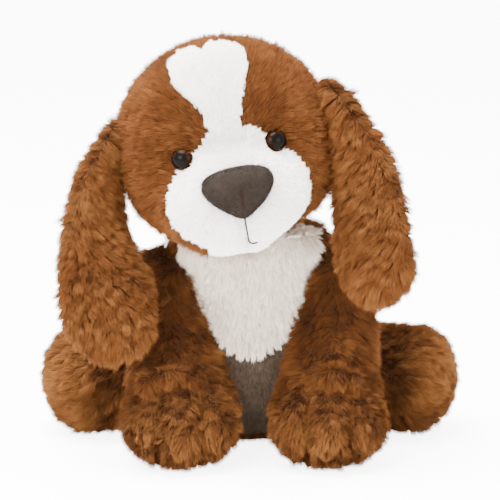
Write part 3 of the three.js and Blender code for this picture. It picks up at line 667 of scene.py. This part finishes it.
def to_head(points):
    """Row frame in metres to the head's frame in millimetres."""
    return (np.asarray(points) - HEAD_CENTRE) @ head_turn / MM


def from_head(points):
    return np.asarray(points) @ head_turn.T * MM + HEAD_CENTRE


def to_face(points):
    """The head's frame to the front view of the face: across, depth and up."""
    return np.asarray(points) @ face_turn


def from_face(points):
    return np.asarray(points) @ face_turn.T


# %% The head's surface
SKULL_AT = np.array([2.5, 0, 0])
SKULL = np.array([68.5, 60, 64.0])
CHEEKS_AT = np.array([4, 0, -22.0])
CHEEKS = np.array([67, 51, 45.0])
MUZZLE_AT = np.array([0, -34, -30.0])
MUZZLE = np.array([45, 46, 38.0])


def reach(ways, centre, radii):
    """How far an ellipsoid's surface is from the head's centre, along each way."""
    d, c = ways / radii, centre / radii
    a = (d * d).sum(1)
    b = d @ c
    root = b * b - a * (c @ c - 1)
    far = np.where(root > 0, (b + np.sqrt(np.maximum(root, 0))) / a, 0)
    return np.maximum(far, 0)


def head_reach(ways):
    skull = reach(ways, SKULL_AT, SKULL)
    cheeks = reach(ways, CHEEKS_AT, CHEEKS)
    muzzle = reach(ways, MUZZLE_AT, MUZZLE)
    whole = (skull**30 + cheeks**30) ** (1 / 30)
    return (whole**14 + muzzle**14) ** (1 / 14)


def face_depth(across, up):
    """How far in front of the face's plane the head's surface is, for points of the front view."""
    near = np.zeros(len(across))
    far = np.full(len(across), 180.0)
    for _ in range(40):
        middle = (near + far) / 2
        point = from_face(np.stack([across, -middle, up], 1))
        inside = np.linalg.norm(point, axis=1) < head_reach(unit(point))
        near = np.where(inside, middle, near)
        far = np.where(inside, far, middle)
    return near


# %% Muzzle creases
def crease(face, line, depth, spread):
    """How deep a sewn crease pulls each point of the face view in, in millimetres."""
    steps = smooth_path(line, np.linspace(0, 1, 40))
    gap = np.min(np.hypot(face[:, None, 0] - steps[:, 0], face[:, None, 2] - steps[:, 1]), axis=1)
    return depth * np.exp(-((gap / spread) ** 2)) * (face[:, 1] < 0)


EYE_ACROSS = 30.5
EYE_UP = -9.5
LIP_SEAM = [(0, -48), (0, -55), (0, -62), (0.5, -66)]
RIGHT_LIP = [(0.5, -66), (12, -67), (26, -64), (38, -57)]
LEFT_LIP = [(0.5, -66), (-4, -70), (-12, -74)]


def sculpt_head(local):
    """The muzzle's sewn creases and the eyes' sockets, pulled towards the head's centre."""
    face = to_face(local)
    pull = crease(face, LIP_SEAM, 4.5, 4) + crease(face, RIGHT_LIP, 3.2, 3) + crease(face, LEFT_LIP, 2.0, 3.5)
    for side in (-1, 1):
        socket = np.hypot(face[:, 0] - side * EYE_ACROSS, face[:, 2] - EYE_UP)
        pull += 3.5 * np.exp(-((socket / 11) ** 2)) * (face[:, 1] < 0)
    return local - unit(local) * pull[:, None]


# %% Head form
def direction_grid(rings, around):
    tilt = np.pi * np.arange(rings + 1) / rings
    spin = 2 * np.pi * np.arange(around) / around
    ring = np.stack([np.cos(spin), np.sin(spin), np.zeros(around)], 1)
    return np.sin(tilt)[:, None, None] * ring[None] + np.cos(tilt)[:, None, None] * np.array([0, 0, 1.0])


PILE_ON_HEAD = 4.5
ways = direction_grid(100, 140)
flat_ways = unit(ways.reshape(-1, 3))
local = sculpt_head(flat_ways * (head_reach(flat_ways) - PILE_ON_HEAD)[:, None])
vertices, faces = closed_rings((from_head(local) / MM).reshape(ways.shape))
head_form = mesh_piece("head_form", vertices, faces, brown_backing)
stuff(head_form, cap_mm=1.5)

BLAZE = [
    (9.5, 5), (12, 14), (16, 24), (20, 35), (23.5, 45), (22, 53), (16, 58), (8, 60.5), (1, 60), (-3.5, 56.5),
    (-8, 60), (-16, 58.5), (-24.5, 53.5), (-26.5, 46), (-25.5, 38), (-20.5, 29), (-14, 19), (-10, 5),
]
MUZZLE_PANEL = [
    (9.5, 4), (18, 1), (26, -8), (34, -14), (41, -21), (46, -31), (47.5, -41), (45, -51), (39, -60),
    (30, -66), (-25, -66), (-35, -59), (-42, -49), (-44, -39), (-42, -29), (-35, -19), (-26, -11), (-17, -4), (-10, 4),
]
CHIN = [(36, -56), (33, -95), (-20, -95), (-24, -60)]
PANEL_JOINS = [(24, -66.5), (9.8, 4.5)]  # narrow strips that close the gaps between the outlines
panel_lines = [closed_outline(BLAZE), np.array(MUZZLE_PANEL, float), np.array(CHIN, float)]


def head_cloth(points):
    """Which cloth covers each point of the head: 0 brown, 1 blaze, 2 muzzle, 3 chin."""
    ways = unit(to_head(points))
    face = to_face(ways * head_reach(ways)[:, None])
    front = face[:, 1] < 0
    which = np.zeros(len(points), int)
    for number, line in enumerate(panel_lines, 1):
        which[front & within(face[:, (0, 2)], line) & (which == 0)] = number
    for half_width, up in PANEL_JOINS:
        which[front & (abs(face[:, 0]) < half_width) & (abs(face[:, 2] - up) < 1.5)] = 2
    return which


head_cloths = share_out(
    head_form,
    head_cloth,
    ("head_cloth", "blaze_cloth", "muzzle_cloth", "chin_cloth"),
    (brown_backing, white_backing, white_backing, white_backing),
)
for piece, node in zip(head_cloths, ("head_skin", "face_blaze", "muzzle_panel", "chin_panel")):
    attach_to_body(piece, "head")
    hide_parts(node)
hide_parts("head_stuffing")

# %% [markdown]
# ## Legs, ears and tail
#
# The front legs are columns that turn forward into broad paws, and the hind legs lie out sideways.
# Two toe seams pull each front paw in. The ears are two layers sewn edge to edge around a thin pad,
# so their sections are flat ovals that turn from facing sideways to facing forward.


# %% Front legs
SHOULDER_TOP = {"left": 138, "right": 131}
PAW_X = {"left": 48, "right": -43}
SIDES = {"left": 1, "right": -1}
TOE_SEAM = 13  # from the middle of a paw
skins = {}


def front_leg_stations(side, paw, top):
    shoulder = side * 53
    knee, wrist = (shoulder + (paw - shoulder) * share for share in (0.3, 0.7))
    return [
        (shoulder, -10, top, 22, 20), (shoulder, -13, 104, 26, 27), (knee, -20, 79, 30, 30),
        (wrist, -34, 54, 33, 31), (paw, -50, 33, 37, 33), (paw, -72, 24, 38, 27), (paw, -94, 22, 32, 23),
    ]


def even_out(piece, voxel_mm=2.6):
    """Rebuilds a skin from small even faces, so that a tight bend doesn't leave a fold in it."""
    remesh = piece.modifiers.new("even_faces", "REMESH")
    remesh.mode = "VOXEL"
    remesh.voxel_size = voxel_mm * MM
    soften = piece.modifiers.new("soften", "SMOOTH")
    soften.iterations = 4
    bpy.context.view_layer.update()
    result = piece.evaluated_get(bpy.context.evaluated_depsgraph_get())
    mesh = bpy.data.meshes.new_from_object(result)
    piece.modifiers.clear()
    piece.data = mesh
    mesh.polygons.foreach_set("use_smooth", [True] * len(mesh.polygons))
    print(piece.name, "has", len(mesh.vertices), "even points")


def pull_toes(piece, paw):
    """Two seams over a front paw, pulled in, with the toes swelling between them."""
    mesh = piece.data
    points = points_of(mesh) / MM
    normals = normals_of(mesh)
    toe_end = np.clip((-points[:, 1] - 62) / 22, 0, 1) * np.clip((points[:, 2] - 2) / 8, 0, 1)
    pull = np.zeros(len(points))
    for place in (-TOE_SEAM, TOE_SEAM):
        pull += 7.0 * np.exp(-(((points[:, 0] - paw - place) / 3.6) ** 2))
    set_points(mesh, (points - normals * (pull * toe_end)[:, None]) * MM)


def sew_limb(name, form, body, nodes, depth_mm, cap_mm, even=True, pressure=4.0):
    """A limb's skin: pressed in to leave room for its pile, evened out and stuffed."""
    piece = mesh_piece(name, *form, brown_backing)
    press_in(piece, depth_mm)
    if even:
        even_out(piece)
    stuff(piece, pressure, cap_mm)
    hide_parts(*nodes)
    skins[body] = piece


for word, side in SIDES.items():
    body = f"front_leg_{word}"
    stations = front_leg_stations(side, PAW_X[word], SHOULDER_TOP[word])
    form = loft(stations, caps=(0.12, 0.2), rings=64, around=72)
    nodes = (f"front_leg_skin_{word}", f"front_leg_stuffing_{word}")
    sew_limb(f"front_leg_cloth_{word}", form, body, nodes, depth_mm=5.5, cap_mm=2)
    pull_toes(skins[body], PAW_X[word])


# %% Hind legs
def hind_leg_stations(side):
    return [
        (side * 40, 36, 35, 24, 26), (side * 62, 32, 36, 30, 33), (side * 88, 24, 35, 33, 35),
        (side * 110, 17, 35, 33, 35), (side * 130, 10, 34, 32, 33),
    ]


for word, side in SIDES.items():
    form = loft(hind_leg_stations(side), across=(0, 1, 0), caps=(0.1, 0.3), rings=52, around=72)
    nodes = (f"hind_leg_skin_{word}", f"hind_leg_stuffing_{word}")
    sew_limb(f"hind_leg_cloth_{word}", form, f"hind_leg_{word}", nodes, depth_mm=4, cap_mm=2)

# %% Ears
EAR_ROOT = dict(zip(SIDES, from_head(np.array([[63, -13, 27.0], [-58, 1, 26.0]])) / MM))
EAR_DROPS = {
    "left": [
        (1, 0, 2, 10, 7, 85), (13, -4, -18, 21, 11, 78), (23, -10, -41, 27, 12, 62),
        (30, -19, -66, 29, 12, 50), (33, -29, -91, 30, 12, 42), (37, -36, -113, 28, 12, 36), (43, -39, -134, 18, 11, 36),
    ],
    "right": [
        (0, 0, 0, 9, 6, -85), (-4, -3, -16, 18, 8, -78), (-11, -8, -38, 26, 11, -66),
        (-14, -16, -62, 29, 12, -56), (-11, -27, -87, 31, 12, -32), (-7, -34.5, -108, 32, 12, -14), (-6, -38.5, -128, 29, 12, -8),
        (-9, -39, -148, 18, 11, -8),
    ],
}
for word, drops in EAR_DROPS.items():
    root = EAR_ROOT[word]
    stations = [(root[0] + x, root[1] + y, root[2] + z, *rest) for x, y, z, *rest in drops]
    form = loft(stations, caps=(0.08, 0.16), rings=60, around=64)
    nodes = (f"ear_front_{word}", f"ear_back_{word}", f"ear_pad_{word}")
    sew_limb(f"ear_cloth_{word}", form, f"ear_{word}", nodes, depth_mm=3.5, cap_mm=2, pressure=2.5)

# %% Tail
tail_stations = [(0, 69, 21, 13, 13), (0, 82, 21, 13, 13), (0, 100, 23, 13, 13), (0, 118, 29, 10, 10)]
form = loft(tail_stations, caps=(0.26, 0.4), rings=30, around=36)
sew_limb("tail_cloth", form, "tail", ("tail_skin", "tail_stuffing"), depth_mm=4.5, cap_mm=1.5, even=False)


def attach(piece, body):
    """A limb rides on its body. An ear is attached to no body: its placement is baked into its points."""
    if not body.startswith("ear"):
        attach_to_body(piece, body)
        return
    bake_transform(piece)


for body, piece in skins.items():
    attach(piece, body)
print("skins:", sorted(skins))

# %% [markdown]
# ## Pile
#
# Plush pile could be hair particles, but they stay behind when the model leaves Blender. So each
# strand is a real blade, one tapering triangle, because there are more than a million of them.
# Strands gather into tufts: each leans on a guide that it shares with its neighbours, and the
# guides are combed along a flow over the cloth, with some turned astray. That gives the locks and
# swirls of a long plush.


# %% Even noise in space
def drift(points, size_mm, seed):
    """A smooth vector field that changes over about size_mm. Points in metres."""
    rng = np.random.default_rng(seed)
    ways = rng.normal(size=(3, 5, 3)) * (2 * np.pi / (size_mm * MM)) * 0.55
    phases = rng.uniform(0, 2 * np.pi, (3, 5))
    return np.stack([np.sin(points @ ways[k].T + phases[k]).sum(1) / 2.2 for k in range(3)], 1)


# %% Roots on a cloth
def scatter(piece, count, rng, keep=None, buried=None):
    """Evenly random roots on a cloth, with the normals there."""
    mesh = piece.data
    points, normals = points_of(mesh), normals_of(mesh)
    triangles = triangles_of(mesh)
    if buried is not None:
        triangles = triangles[~buried[triangles].all(1)]
    corners = points[triangles]
    area = np.linalg.norm(np.cross(corners[:, 1] - corners[:, 0], corners[:, 2] - corners[:, 0]), axis=1)
    chosen = rng.choice(len(triangles), count, p=area / area.sum())
    u, v = rng.random((2, count, 1))
    over = u + v > 1
    u, v = np.where(over, 1 - u, u), np.where(over, 1 - v, v)
    a, b, c = (points[triangles[chosen, k]] for k in range(3))
    na, nb, nc = (normals[triangles[chosen, k]] for k in range(3))
    roots = a + (b - a) * u + (c - a) * v
    outward = unit(na * (1 - u - v) + nb * u + nc * v)
    if keep is None:
        return roots, outward
    kept = keep(roots, outward)
    return roots[kept], outward[kept]


SLANT = (0.31, 0.47, 0.83)  # along no edge of any form
MOST_CROSSINGS = 12


def crossings(tree, point):
    """How many times a line from a point crosses a closed form: odd when the point is inside."""
    way, count = Vector(SLANT).normalized(), 0
    hit = tree.ray_cast(Vector(point), way)[0]
    while hit is not None and count < MOST_CROSSINGS:
        count += 1
        hit = tree.ray_cast(hit + way * 1e-6, way)[0]
    return count


def buried_points(piece, others, depth_mm):
    """True for each vertex of a cloth that lies deeper than depth_mm inside another form."""
    points = points_of(piece.data)
    hidden = np.zeros(len(points), bool)
    for other in others:
        tree = tree_of(other)
        low, high = points_of(other.data).min(0), points_of(other.data).max(0)
        near = ~hidden & np.all((points > low) & (points < high), axis=1)
        for i in np.flatnonzero(near):
            inside = crossings(tree, points[i]) % 2 == 1
            hidden[i] = inside and tree.find_nearest(points[i])[3] > depth_mm * MM
    print(piece.name, "has", int(hidden.sum()), "of", len(points), "points under another form")
    return hidden


# %% Strands
def strand_tips(roots, outward, lean, length, rise, droop):
    """Each strand's tip: it stands up, lies over along its lean, and droops."""
    stands = outward * rise * 0.65
    return roots + (stands + lean + np.array([0, 0, -1.0]) * droop) * length[:, None]


def blades(name, roots, tips, outward, width, tints, material, rng):
    """One mesh of tapering blades. Each carries its tint, and its height from foot to tip."""
    count = len(roots)
    facing = outward + rng.normal(size=outward.shape) * 0.45
    side = unit(np.cross(tips - roots, facing)) * (width / 2)
    vertices = np.stack([roots - side, roots + side, tips], 1)
    vertices[..., 2] = np.maximum(vertices[..., 2], 0.3 * MM)
    mesh = bpy.data.meshes.new(name)
    mesh.vertices.add(count * 3)
    mesh.vertices.foreach_set("co", vertices.ravel())
    mesh.loops.add(count * 3)
    mesh.loops.foreach_set("vertex_index", np.arange(count * 3))
    mesh.polygons.add(count)
    mesh.polygons.foreach_set("loop_start", np.arange(0, count * 3, 3))
    tint_values = np.repeat(tints, 3)
    height_values = np.tile([0.0, 0.0, 1.0], count)
    for attribute, values in (("tint", tint_values), ("height", height_values)):
        data = mesh.attributes.new(attribute, "FLOAT", "POINT").data
        data.foreach_set("value", values.astype(np.float32))
    sideways = np.tile([-0.004, 0.004, 0.0], count)
    spots = np.stack([tint_values * 0.98 + 0.01 + sideways, height_values], 1) * 0.96 + 0.02
    mesh.uv_layers.new(name="OFBake").data.foreach_set("uv", spots.ravel().astype(np.float32))
    mesh.update(calc_edges=True)
    mesh.materials.append(material)
    return placed(name, mesh)


# %% Tufted pile
def grow_pile(
    name, cloth, body, material, count, length, comb, *, width=0.3, rise=1.1, lean=0.55, droop=0.08,
    tuft_mm=4.0, gather=0.14, astray=0.2, keep=None, buried=None, tone=0.5, tone_of=None, swirl=0.4, seed=1,
):
    """Grows a pile on a cloth. length is in millimetres, a number or a function of the roots."""
    rng = np.random.default_rng(seed)
    roots, outward = scatter(cloth, count, rng, keep, buried)
    count = len(roots)
    reach_mm = length(roots) if callable(length) else np.full(count, float(length))
    flow = comb(roots, outward) + drift(roots, 24, seed + 5) * swirl
    flow = unit(flow - outward * (flow * outward).sum(1, keepdims=True))
    area = sum(p.area for p in cloth.data.polygons) / MM**2
    tufts = max(8, min(count // 3, int(area / tuft_mm**2)))
    tree = KDTree(tufts)
    for i in range(tufts):
        tree.insert(roots[i], i)
    tree.balance()
    tuft = np.array([tree.find(p)[1] for p in roots])
    turned = rng.normal(size=(tufts, 3)) * astray
    swell = 1 + 0.16 * rng.normal(size=tufts)
    shift = rng.normal(size=tufts)
    strand_lean = (flow + turned[tuft] + rng.normal(size=(count, 3)) * astray * 0.5) * lean
    strand_long = reach_mm * np.clip(swell[tuft] * (1 + 0.12 * rng.normal(size=count)), 0.5, 1.35) * MM
    own = strand_tips(roots, outward, strand_lean, strand_long, rise, droop)
    guide_lean = (flow[:tufts] + turned) * lean
    guide_long = reach_mm[:tufts] * np.clip(swell, 0.6, 1.3) * MM
    guides = strand_tips(roots[:tufts], outward[:tufts], guide_lean, guide_long, rise, droop)
    tips = own * (1 - gather) + guides[tuft] * gather
    tints = tone + 0.085 * shift[tuft] + 0.10 * rng.normal(size=count)
    tints += 0.08 * drift(roots, 26, seed + 9)[:, 0]
    if tone_of is not None:
        tints += tone_of(roots)
    piece = blades(name, roots, tips, outward, width * MM, np.clip(tints, 0.0, 1.0), material, rng)
    attach(piece, body)
    print(name, count, "strands,", len(piece.data.polygons), "triangles,", tufts, "tufts")
    return piece


# %% [markdown]
# ## The coat
#
# A maker cuts plush so that its pile runs down and back on the body, and outwards from the nose on
# the head. Each piece gets its own flow here. Roots that another form covers are left out, since
# they would only press through it.


# %% Flows
def downwards(roots, outward):
    return np.tile([0.0, 0.1, -1.0], (len(roots), 1))


def from_nose(roots, outward):
    away = roots - from_head(np.array([[0, -100, -20.0]]))
    return unit(away) + np.array([0, 0.1, -0.25])


def along_hind_leg(side):
    return lambda roots, outward: np.tile([side * 0.9, -0.35, -0.25], (len(roots), 1))


def lighter_paws(roots):
    """Light catches the paws' pile, which lies open, more than the pressed pile above."""
    return np.interp(roots[:, 2], [0.03, 0.075], [0.26, -0.02])


def down_the_paw(roots, outward):
    forward = np.clip((75 * MM - roots[:, 2]) / (50 * MM), 0, 1)[:, None]
    return np.array([0, 0, -1.0]) * (1 - 0.6 * forward) + np.array([0, -1.0, 0]) * forward


# %% Coat of the torso
leg_skins = [skins[k] for k in ("front_leg_left", "front_leg_right", "hind_leg_left", "hind_leg_right")]
over_torso = [head_form, *leg_skins]
grow_pile(
    "torso_pile", torso_cloths[0], "torso", brown_pile, 120000, 7.5, downwards,
    buried=buried_points(torso_cloths[0], over_torso, 2), seed=11,
)
grow_pile(
    "bib_pile", torso_cloths[1], "torso", cream_pile, 90000, 5, downwards,
    tuft_mm=2.5, gather=0.08, swirl=0.2, buried=buried_points(torso_cloths[1], over_torso, 2), seed=12,
)
grow_pile(
    "tummy_pile", torso_cloths[2], "torso", taupe_and_shade_pile, 30000, 3.5, downwards,
    tuft_mm=2, gather=0.1, astray=0.12, swirl=0.15,
    buried=buried_points(torso_cloths[2], leg_skins, 2), seed=13,
)

# %% Coat of the head
EYE_PLACES = [
    from_face(np.array([[across, -face_depth(np.array([across]), np.array([EYE_UP]))[0], EYE_UP]]))[0]
    for across in (EYE_ACROSS, -EYE_ACROSS)
]


def clear_of_eyes(roots):
    """True for each root outside the tall ovals that the eyes fill."""
    local = to_head(roots)
    return np.all([np.linalg.norm((local - eye) * (1.4, 1, 1), axis=1) > 6.6 for eye in EYE_PLACES], axis=0)


grow_pile(
    "head_pile", head_cloths[0], "head", brown_pile, 135000, 5.8, from_nose,
    tone=0.42, tuft_mm=3.0, gather=0.1, astray=0.2, swirl=0.3,
    keep=lambda roots, outward: (head_cloth(roots) == 0) & clear_of_eyes(roots), seed=21,
)
white_piles = {"blaze_pile": 26000, "muzzle_pile": 80000, "chin_pile": 15000}
for number, (name, count) in enumerate(white_piles.items(), 1):
    grow_pile(
        name, head_cloths[number], "head", white_pile, count, 3.2, from_nose,
        width=0.28, rise=1.0, lean=0.5, tuft_mm=2, gather=0.1, astray=0.15, droop=0.05, swirl=0.2,
        keep=lambda roots, outward: clear_of_eyes(roots), seed=22 + number,
    )

# %% Coat of the limbs
for word, side in SIDES.items():
    front, hind, ear = (skins[f"{limb}_{word}"] for limb in ("front_leg", "hind_leg", "ear"))
    grow_pile(
        f"front_leg_pile_{word}", front, f"front_leg_{word}", brown_pile, 125000, 6.8,
        down_the_paw, swirl=0.35, tone_of=lighter_paws,
        buried=buried_points(front, [torso_form, hind], 2), seed=31 + side,
    )
    grow_pile(
        f"hind_leg_pile_{word}", hind, f"hind_leg_{word}", brown_pile, 115000, 7,
        along_hind_leg(side), swirl=0.35, tone=0.78,
        buried=buried_points(hind, [torso_form, front], 2), seed=41 + side,
    )
    grow_pile(
        f"ear_pile_{word}", ear, f"ear_{word}", brown_pile, 125000, 7,
        downwards, swirl=0.3, tone=0.58, buried=buried_points(ear, [head_form], 2), seed=51 + side,
    )
grow_pile(
    "tail_pile", skins["tail"], "tail", brown_pile, 18000, 7.5,
    lambda roots, outward: np.tile([0, 1.0, 0.1], (len(roots), 1)),
    buried=buried_points(skins["tail"], [torso_form], 1), seed=61,
)

# %% [markdown]
# ## Neck
#
# The head is sewn on round an opening in the torso's top. The seam lies in a short collar of
# turned-in cloth, and the pile of both sides closes over it. A ring of plush stands for that
# collar, so no gap shows when the head turns.

# %% Neck ruff
NECK = np.array([-6, -16, 132.0])
RUFF_STEPS, RUFF_AROUND = 64, 20
RUFF_RADIUS = 23
RUFF_THICK, RUFF_TALL = 5, 7  # half of each
ring_angle = 2 * np.pi * np.arange(RUFF_STEPS) / RUFF_STEPS
tube_angle = 2 * np.pi * np.arange(RUFF_AROUND) / RUFF_AROUND
outwards = RUFF_RADIUS + RUFF_THICK * np.cos(tube_angle)
upwards = RUFF_TALL * np.sin(tube_angle)
spots = np.stack(
    [
        NECK[0] + np.outer(np.cos(ring_angle), outwards),
        NECK[1] + np.outer(np.sin(ring_angle), outwards),
        NECK[2] + np.outer(np.ones(RUFF_STEPS), upwards),
    ],
    -1,
)
spot = lambda i, k: i % RUFF_STEPS * RUFF_AROUND + k % RUFF_AROUND
ring_faces = [
    (spot(i, k), spot(i + 1, k), spot(i + 1, k + 1), spot(i, k + 1))
    for i in range(RUFF_STEPS)
    for k in range(RUFF_AROUND)
]
neck_ruff = mesh_piece("neck_ruff", spots.reshape(-1, 3), ring_faces, brown_backing)
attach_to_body(neck_ruff, "neck_lower")
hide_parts("neck_collar")
grow_pile(
    "neck_pile", neck_ruff, "neck_lower", brown_pile, 30000, 8, downwards,
    lean=0.3, rise=1.3, keep=lambda roots, outward: roots[:, 1] > -14 * MM, seed=71,
)

# %% [markdown]
# ## Face
#
# The eyes are polished domes with a dark pupil in a brown ring, pressed into the pile. The nose is
# a padded velour cushion with a seam down its front, and the mouth is stitched in brown thread.


# %% Eyes
def surface_turn(point):
    """Axes at a point of the head: the last is the outward direction."""
    level = lambda p: np.linalg.norm(p, axis=-1) / head_reach(unit(np.atleast_2d(p)))
    around = [point + step for step in np.eye(3) * 0.01]
    out = unit(np.array([(level(p)[0] - level(point)[0]) for p in around]))
    across = unit(np.cross([0, 0, 1.0], out))
    return np.stack([across, np.cross(out, across), out])


eye_gloss, tree, surface = new_material("eye_gloss")
mottle = noise_node(tree, 900.0, 2.0)
brown_ring = colour_mix(tree, mottle, (0.005, 0.0016, 0.0004, 1), (0.010, 0.003, 0.0008, 1))
eye_colour = colour_mix(tree, attribute_node(tree, "iris"), (0.002, 0.0013, 0.001, 1), brown_ring)
tree.links.new(eye_colour, surface.inputs["Base Color"])
for socket_name, value in {"Roughness": 0.06, "IOR": 1.4, "Specular IOR Level": 0.05}.items():
    surface.inputs[socket_name].default_value = value

EYE_RADIUS = 7.2
EYE_AROUND = 56
PUPIL_EDGE = 38  # degrees from the dome's middle
for word, point in zip(("left", "right"), EYE_PLACES):
    axes = surface_turn(point)
    tilt = np.linspace(0, np.pi / 2 + 0.35, 30)
    spin = 2 * np.pi * np.arange(EYE_AROUND) / EYE_AROUND
    radius, lift = EYE_RADIUS * np.sin(tilt), EYE_RADIUS * np.cos(tilt) * 0.86 - 5.9
    turned = (np.cos(spin), np.sin(spin), np.ones(EYE_AROUND))
    rings = np.stack([np.outer(size, turn) for size, turn in zip((radius, radius, lift), turned)], -1)
    rings[-1, :, :2] = 0
    vertices, faces = closed_rings(from_head(rings @ axes + point) / MM)
    piece = mesh_piece(f"eye_dome_{word}", vertices, faces, eye_gloss)
    values = np.empty(len(vertices))
    values[0], values[-1] = 0, 1
    values[1:-1] = np.repeat(np.clip((np.degrees(tilt[1:-1]) - PUPIL_EDGE) / 6, 0, 1), EYE_AROUND)
    iris = piece.data.attributes.new("iris", "FLOAT", "POINT").data
    iris.foreach_set("value", values.astype(np.float32))
    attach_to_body(piece, "head")
    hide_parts(f"eye_{word}")

# %% Nose
NOSE = [(0, -50.5), (9, -46), (17, -39), (21.5, -31), (20, -25), (14, -21.5), (5, -20)]
NOSE += [(-x, z) for x, z in NOSE[:0:-1]]
NOSE_RINGS, NOSE_AROUND = 40, 120
NOSE_STANDS = 10.5
nose_line = closed_outline(NOSE, NOSE_AROUND)
nose_middle = np.array([0, -33.0])
shares = np.linspace(0, 1, NOSE_RINGS)
spots = nose_middle + shares[:, None, None] * (nose_line - nose_middle)
flat = spots.reshape(-1, 2)
skin_depth = face_depth(flat[:, 0], flat[:, 1]).reshape(NOSE_RINGS, NOSE_AROUND)
top_depth = face_depth(nose_middle[:1], nose_middle[1:])[0] + NOSE_STANDS
crown = (1 - shares**3.2) ** (1 / 2.1)
depth = (skin_depth - 3) * (1 - crown[:, None]) + top_depth * crown[:, None]
below = spots[..., 1] - nose_middle[1]
depth -= 0.012 * below**2 * crown[:, None] * (below < 0)
seam = np.exp(-((spots[..., 0] / 0.9) ** 2)) * np.clip((-34 - spots[..., 1]) / 3, 0, 1)
depth -= 1.3 * seam * crown[:, None]
front = np.stack([spots[..., 0], -depth, spots[..., 1]], -1)
back = front[-1:].copy()
back[..., 1] += 2.5
grid = np.concatenate([front, back, np.tile(back.mean(axis=1, keepdims=True), (1, NOSE_AROUND, 1))])
vertices, faces = closed_rings(from_head(from_face(grid.reshape(-1, 3))).reshape(grid.shape) / MM)
nose = mesh_piece("nose_velour", vertices, faces, nose_velour)
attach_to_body(nose, "head")
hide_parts("nose_cover", "nose_stuffing")


# %% Threads
def thread_piece(name, points_mm, radius_mm, body, nodes=()):
    """A thread as a round tube along a smooth line, in millimetres of the row frame."""
    line = smooth_path(points_mm, np.linspace(0, 1, 6 * len(points_mm)))
    along = unit(np.gradient(line, axis=0))
    helper = np.where(abs(along[:, :1]) > 0.8, [[0, 0, 1.0]], [[1.0, 0, 0]])
    side = unit(np.cross(along, helper))
    other = np.cross(along, side)
    angle = 2 * np.pi * np.arange(10) / 10
    from_end = np.minimum(np.arange(len(line)), np.arange(len(line))[::-1])
    size = (radius_mm * np.sqrt(np.clip(from_end / 2, 0.02, 1)))[:, None, None]
    round_a, round_b = np.cos(angle)[None, :, None], np.sin(angle)[None, :, None]
    rings = line[:, None] + size * round_a * side[:, None] + size * round_b * other[:, None]
    piece = mesh_piece(name, *closed_rings(rings), brown_thread)
    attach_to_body(piece, body)
    if nodes:
        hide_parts(*nodes)
    return piece


def skin_point(tree, start, target):
    """Where a line from start towards target first meets a skin, in millimetres."""
    way = Vector(target) - Vector(start)
    hit = tree.ray_cast(Vector(start) * MM, way)[0]
    return np.array(hit) / MM


def on_face(pairs, lift):
    pairs = np.array(pairs, float)
    depth = face_depth(pairs[:, 0], pairs[:, 1])
    front = from_face(np.stack([pairs[:, 0], -depth, pairs[:, 1]], 1))
    return from_head(front + unit(front) * lift) / MM


mouth = on_face([(0, -50), (0, -54), (0.1, -58), (0.3, -62), (0.8, -65.5), (3, -66.8), (6, -66.6)], -0.6)
thread_piece("mouth_thread", mouth, 0.5, "head", ["mouth_stitch"])

nose_tree = tree_of(nose)
nose_seam = []
for up in (-35, -38, -41, -44, -47, -49):
    start, end = from_head(from_face(np.array([[0, -200.0, up], [0, -60.0, up]]))) / MM
    nose_seam.append(skin_point(nose_tree, start, end))
thread_piece("nose_seam_thread", nose_seam, 0.5, "head")
grow_pile(
    "nose_nap", nose, "head", nose_pile, 22000, 0.9, downwards,
    width=0.14, tuft_mm=1.5, gather=0.1, astray=0.3, swirl=0.2, seed=81,
)

# %% [markdown]
# ## Stitches, label and what is inside
#
# The toe threads sink into the pulled seams, and a ladder of short stitches closes the back. The
# CAD pieces inside the toy are never seen, but an opened toy would show them, so they get the
# finishes of fibre, pellets and plain cloth.


# %% Toe threads
for word, side in SIDES.items():
    paw = PAW_X[word]
    tree = tree_of(skins[f"front_leg_{word}"])
    for share, place in ((-1, "inner"), (1, "outer")):
        x = paw + side * share * TOE_SEAM
        points = []
        for degrees in range(100, 15, -12):
            angle = math.radians(degrees)
            outside = np.array([0, -math.sin(angle), math.cos(angle)])
            start = (x, -74 - 120 * math.sin(angle), 24 + 120 * math.cos(angle))
            points.append(skin_point(tree, start, (x, -74, 24)) + 0.4 * outside)
        node = f"toe_stitch_{word}_{place}"
        thread_piece(f"toe_thread_{word}_{place}", points, 0.7, f"front_leg_{word}", [node])

# %% Closing seam
tree = tree_of(torso_form)
STITCHES = 10
ladder = []
for i in range(STITCHES):
    x = -1.5 if i % 2 == 0 else 1.5
    z = 52 + i * 46 / (STITCHES - 1)
    ladder.append(skin_point(tree, (x, 200, z), (x, 0, z)) + np.array([0, 0.6, 0]))
thread_piece("closing_thread", ladder, 0.6, "torso", ["closing_stitch"])


# %% Finishes of the carried-over pieces
def dress(node, material):
    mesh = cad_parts[node].data
    mesh.materials.clear()
    mesh.materials.append(material)


# The label's darker gap colour is painted shade between its threads.
satin = group_material(
    "satin_label", knitted_cloth,
    {"Yarn": (0.93, 0.92, 0.90), "Gap": (0.80, 0.79, 0.77), "Stitch Scale": 2500.0},
    0.35, sheen=0.3, bump=0.2,
)
washer_plastic = group_material(
    "washer_plastic", short_nap,
    {"Dark": (0.72, 0.71, 0.66), "Light": (0.80, 0.79, 0.75), "Nap Scale": 300.0}, 0.45, bump=0.05,
)
# The pellets' darker gap colour is painted shade in the crevices between them.
pellets = group_material(
    "pellets", knitted_cloth, {"Yarn": (0.84, 0.81, 0.74), "Gap": (0.5, 0.48, 0.42), "Stitch Scale": 350.0},
    0.4, bump=1.0,
)
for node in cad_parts:
    if "stuffing" in node or "ear_pad" in node:
        dress(node, loose_fibre)
    elif "washer" in node:
        dress(node, washer_plastic)
dress("bean_pouch", pouch_cloth)
dress("bean_fill", pellets)
dress("care_label", satin)

# %% Put the working forms away
for form in (torso_form, head_form):
    bpy.data.objects.remove(form)
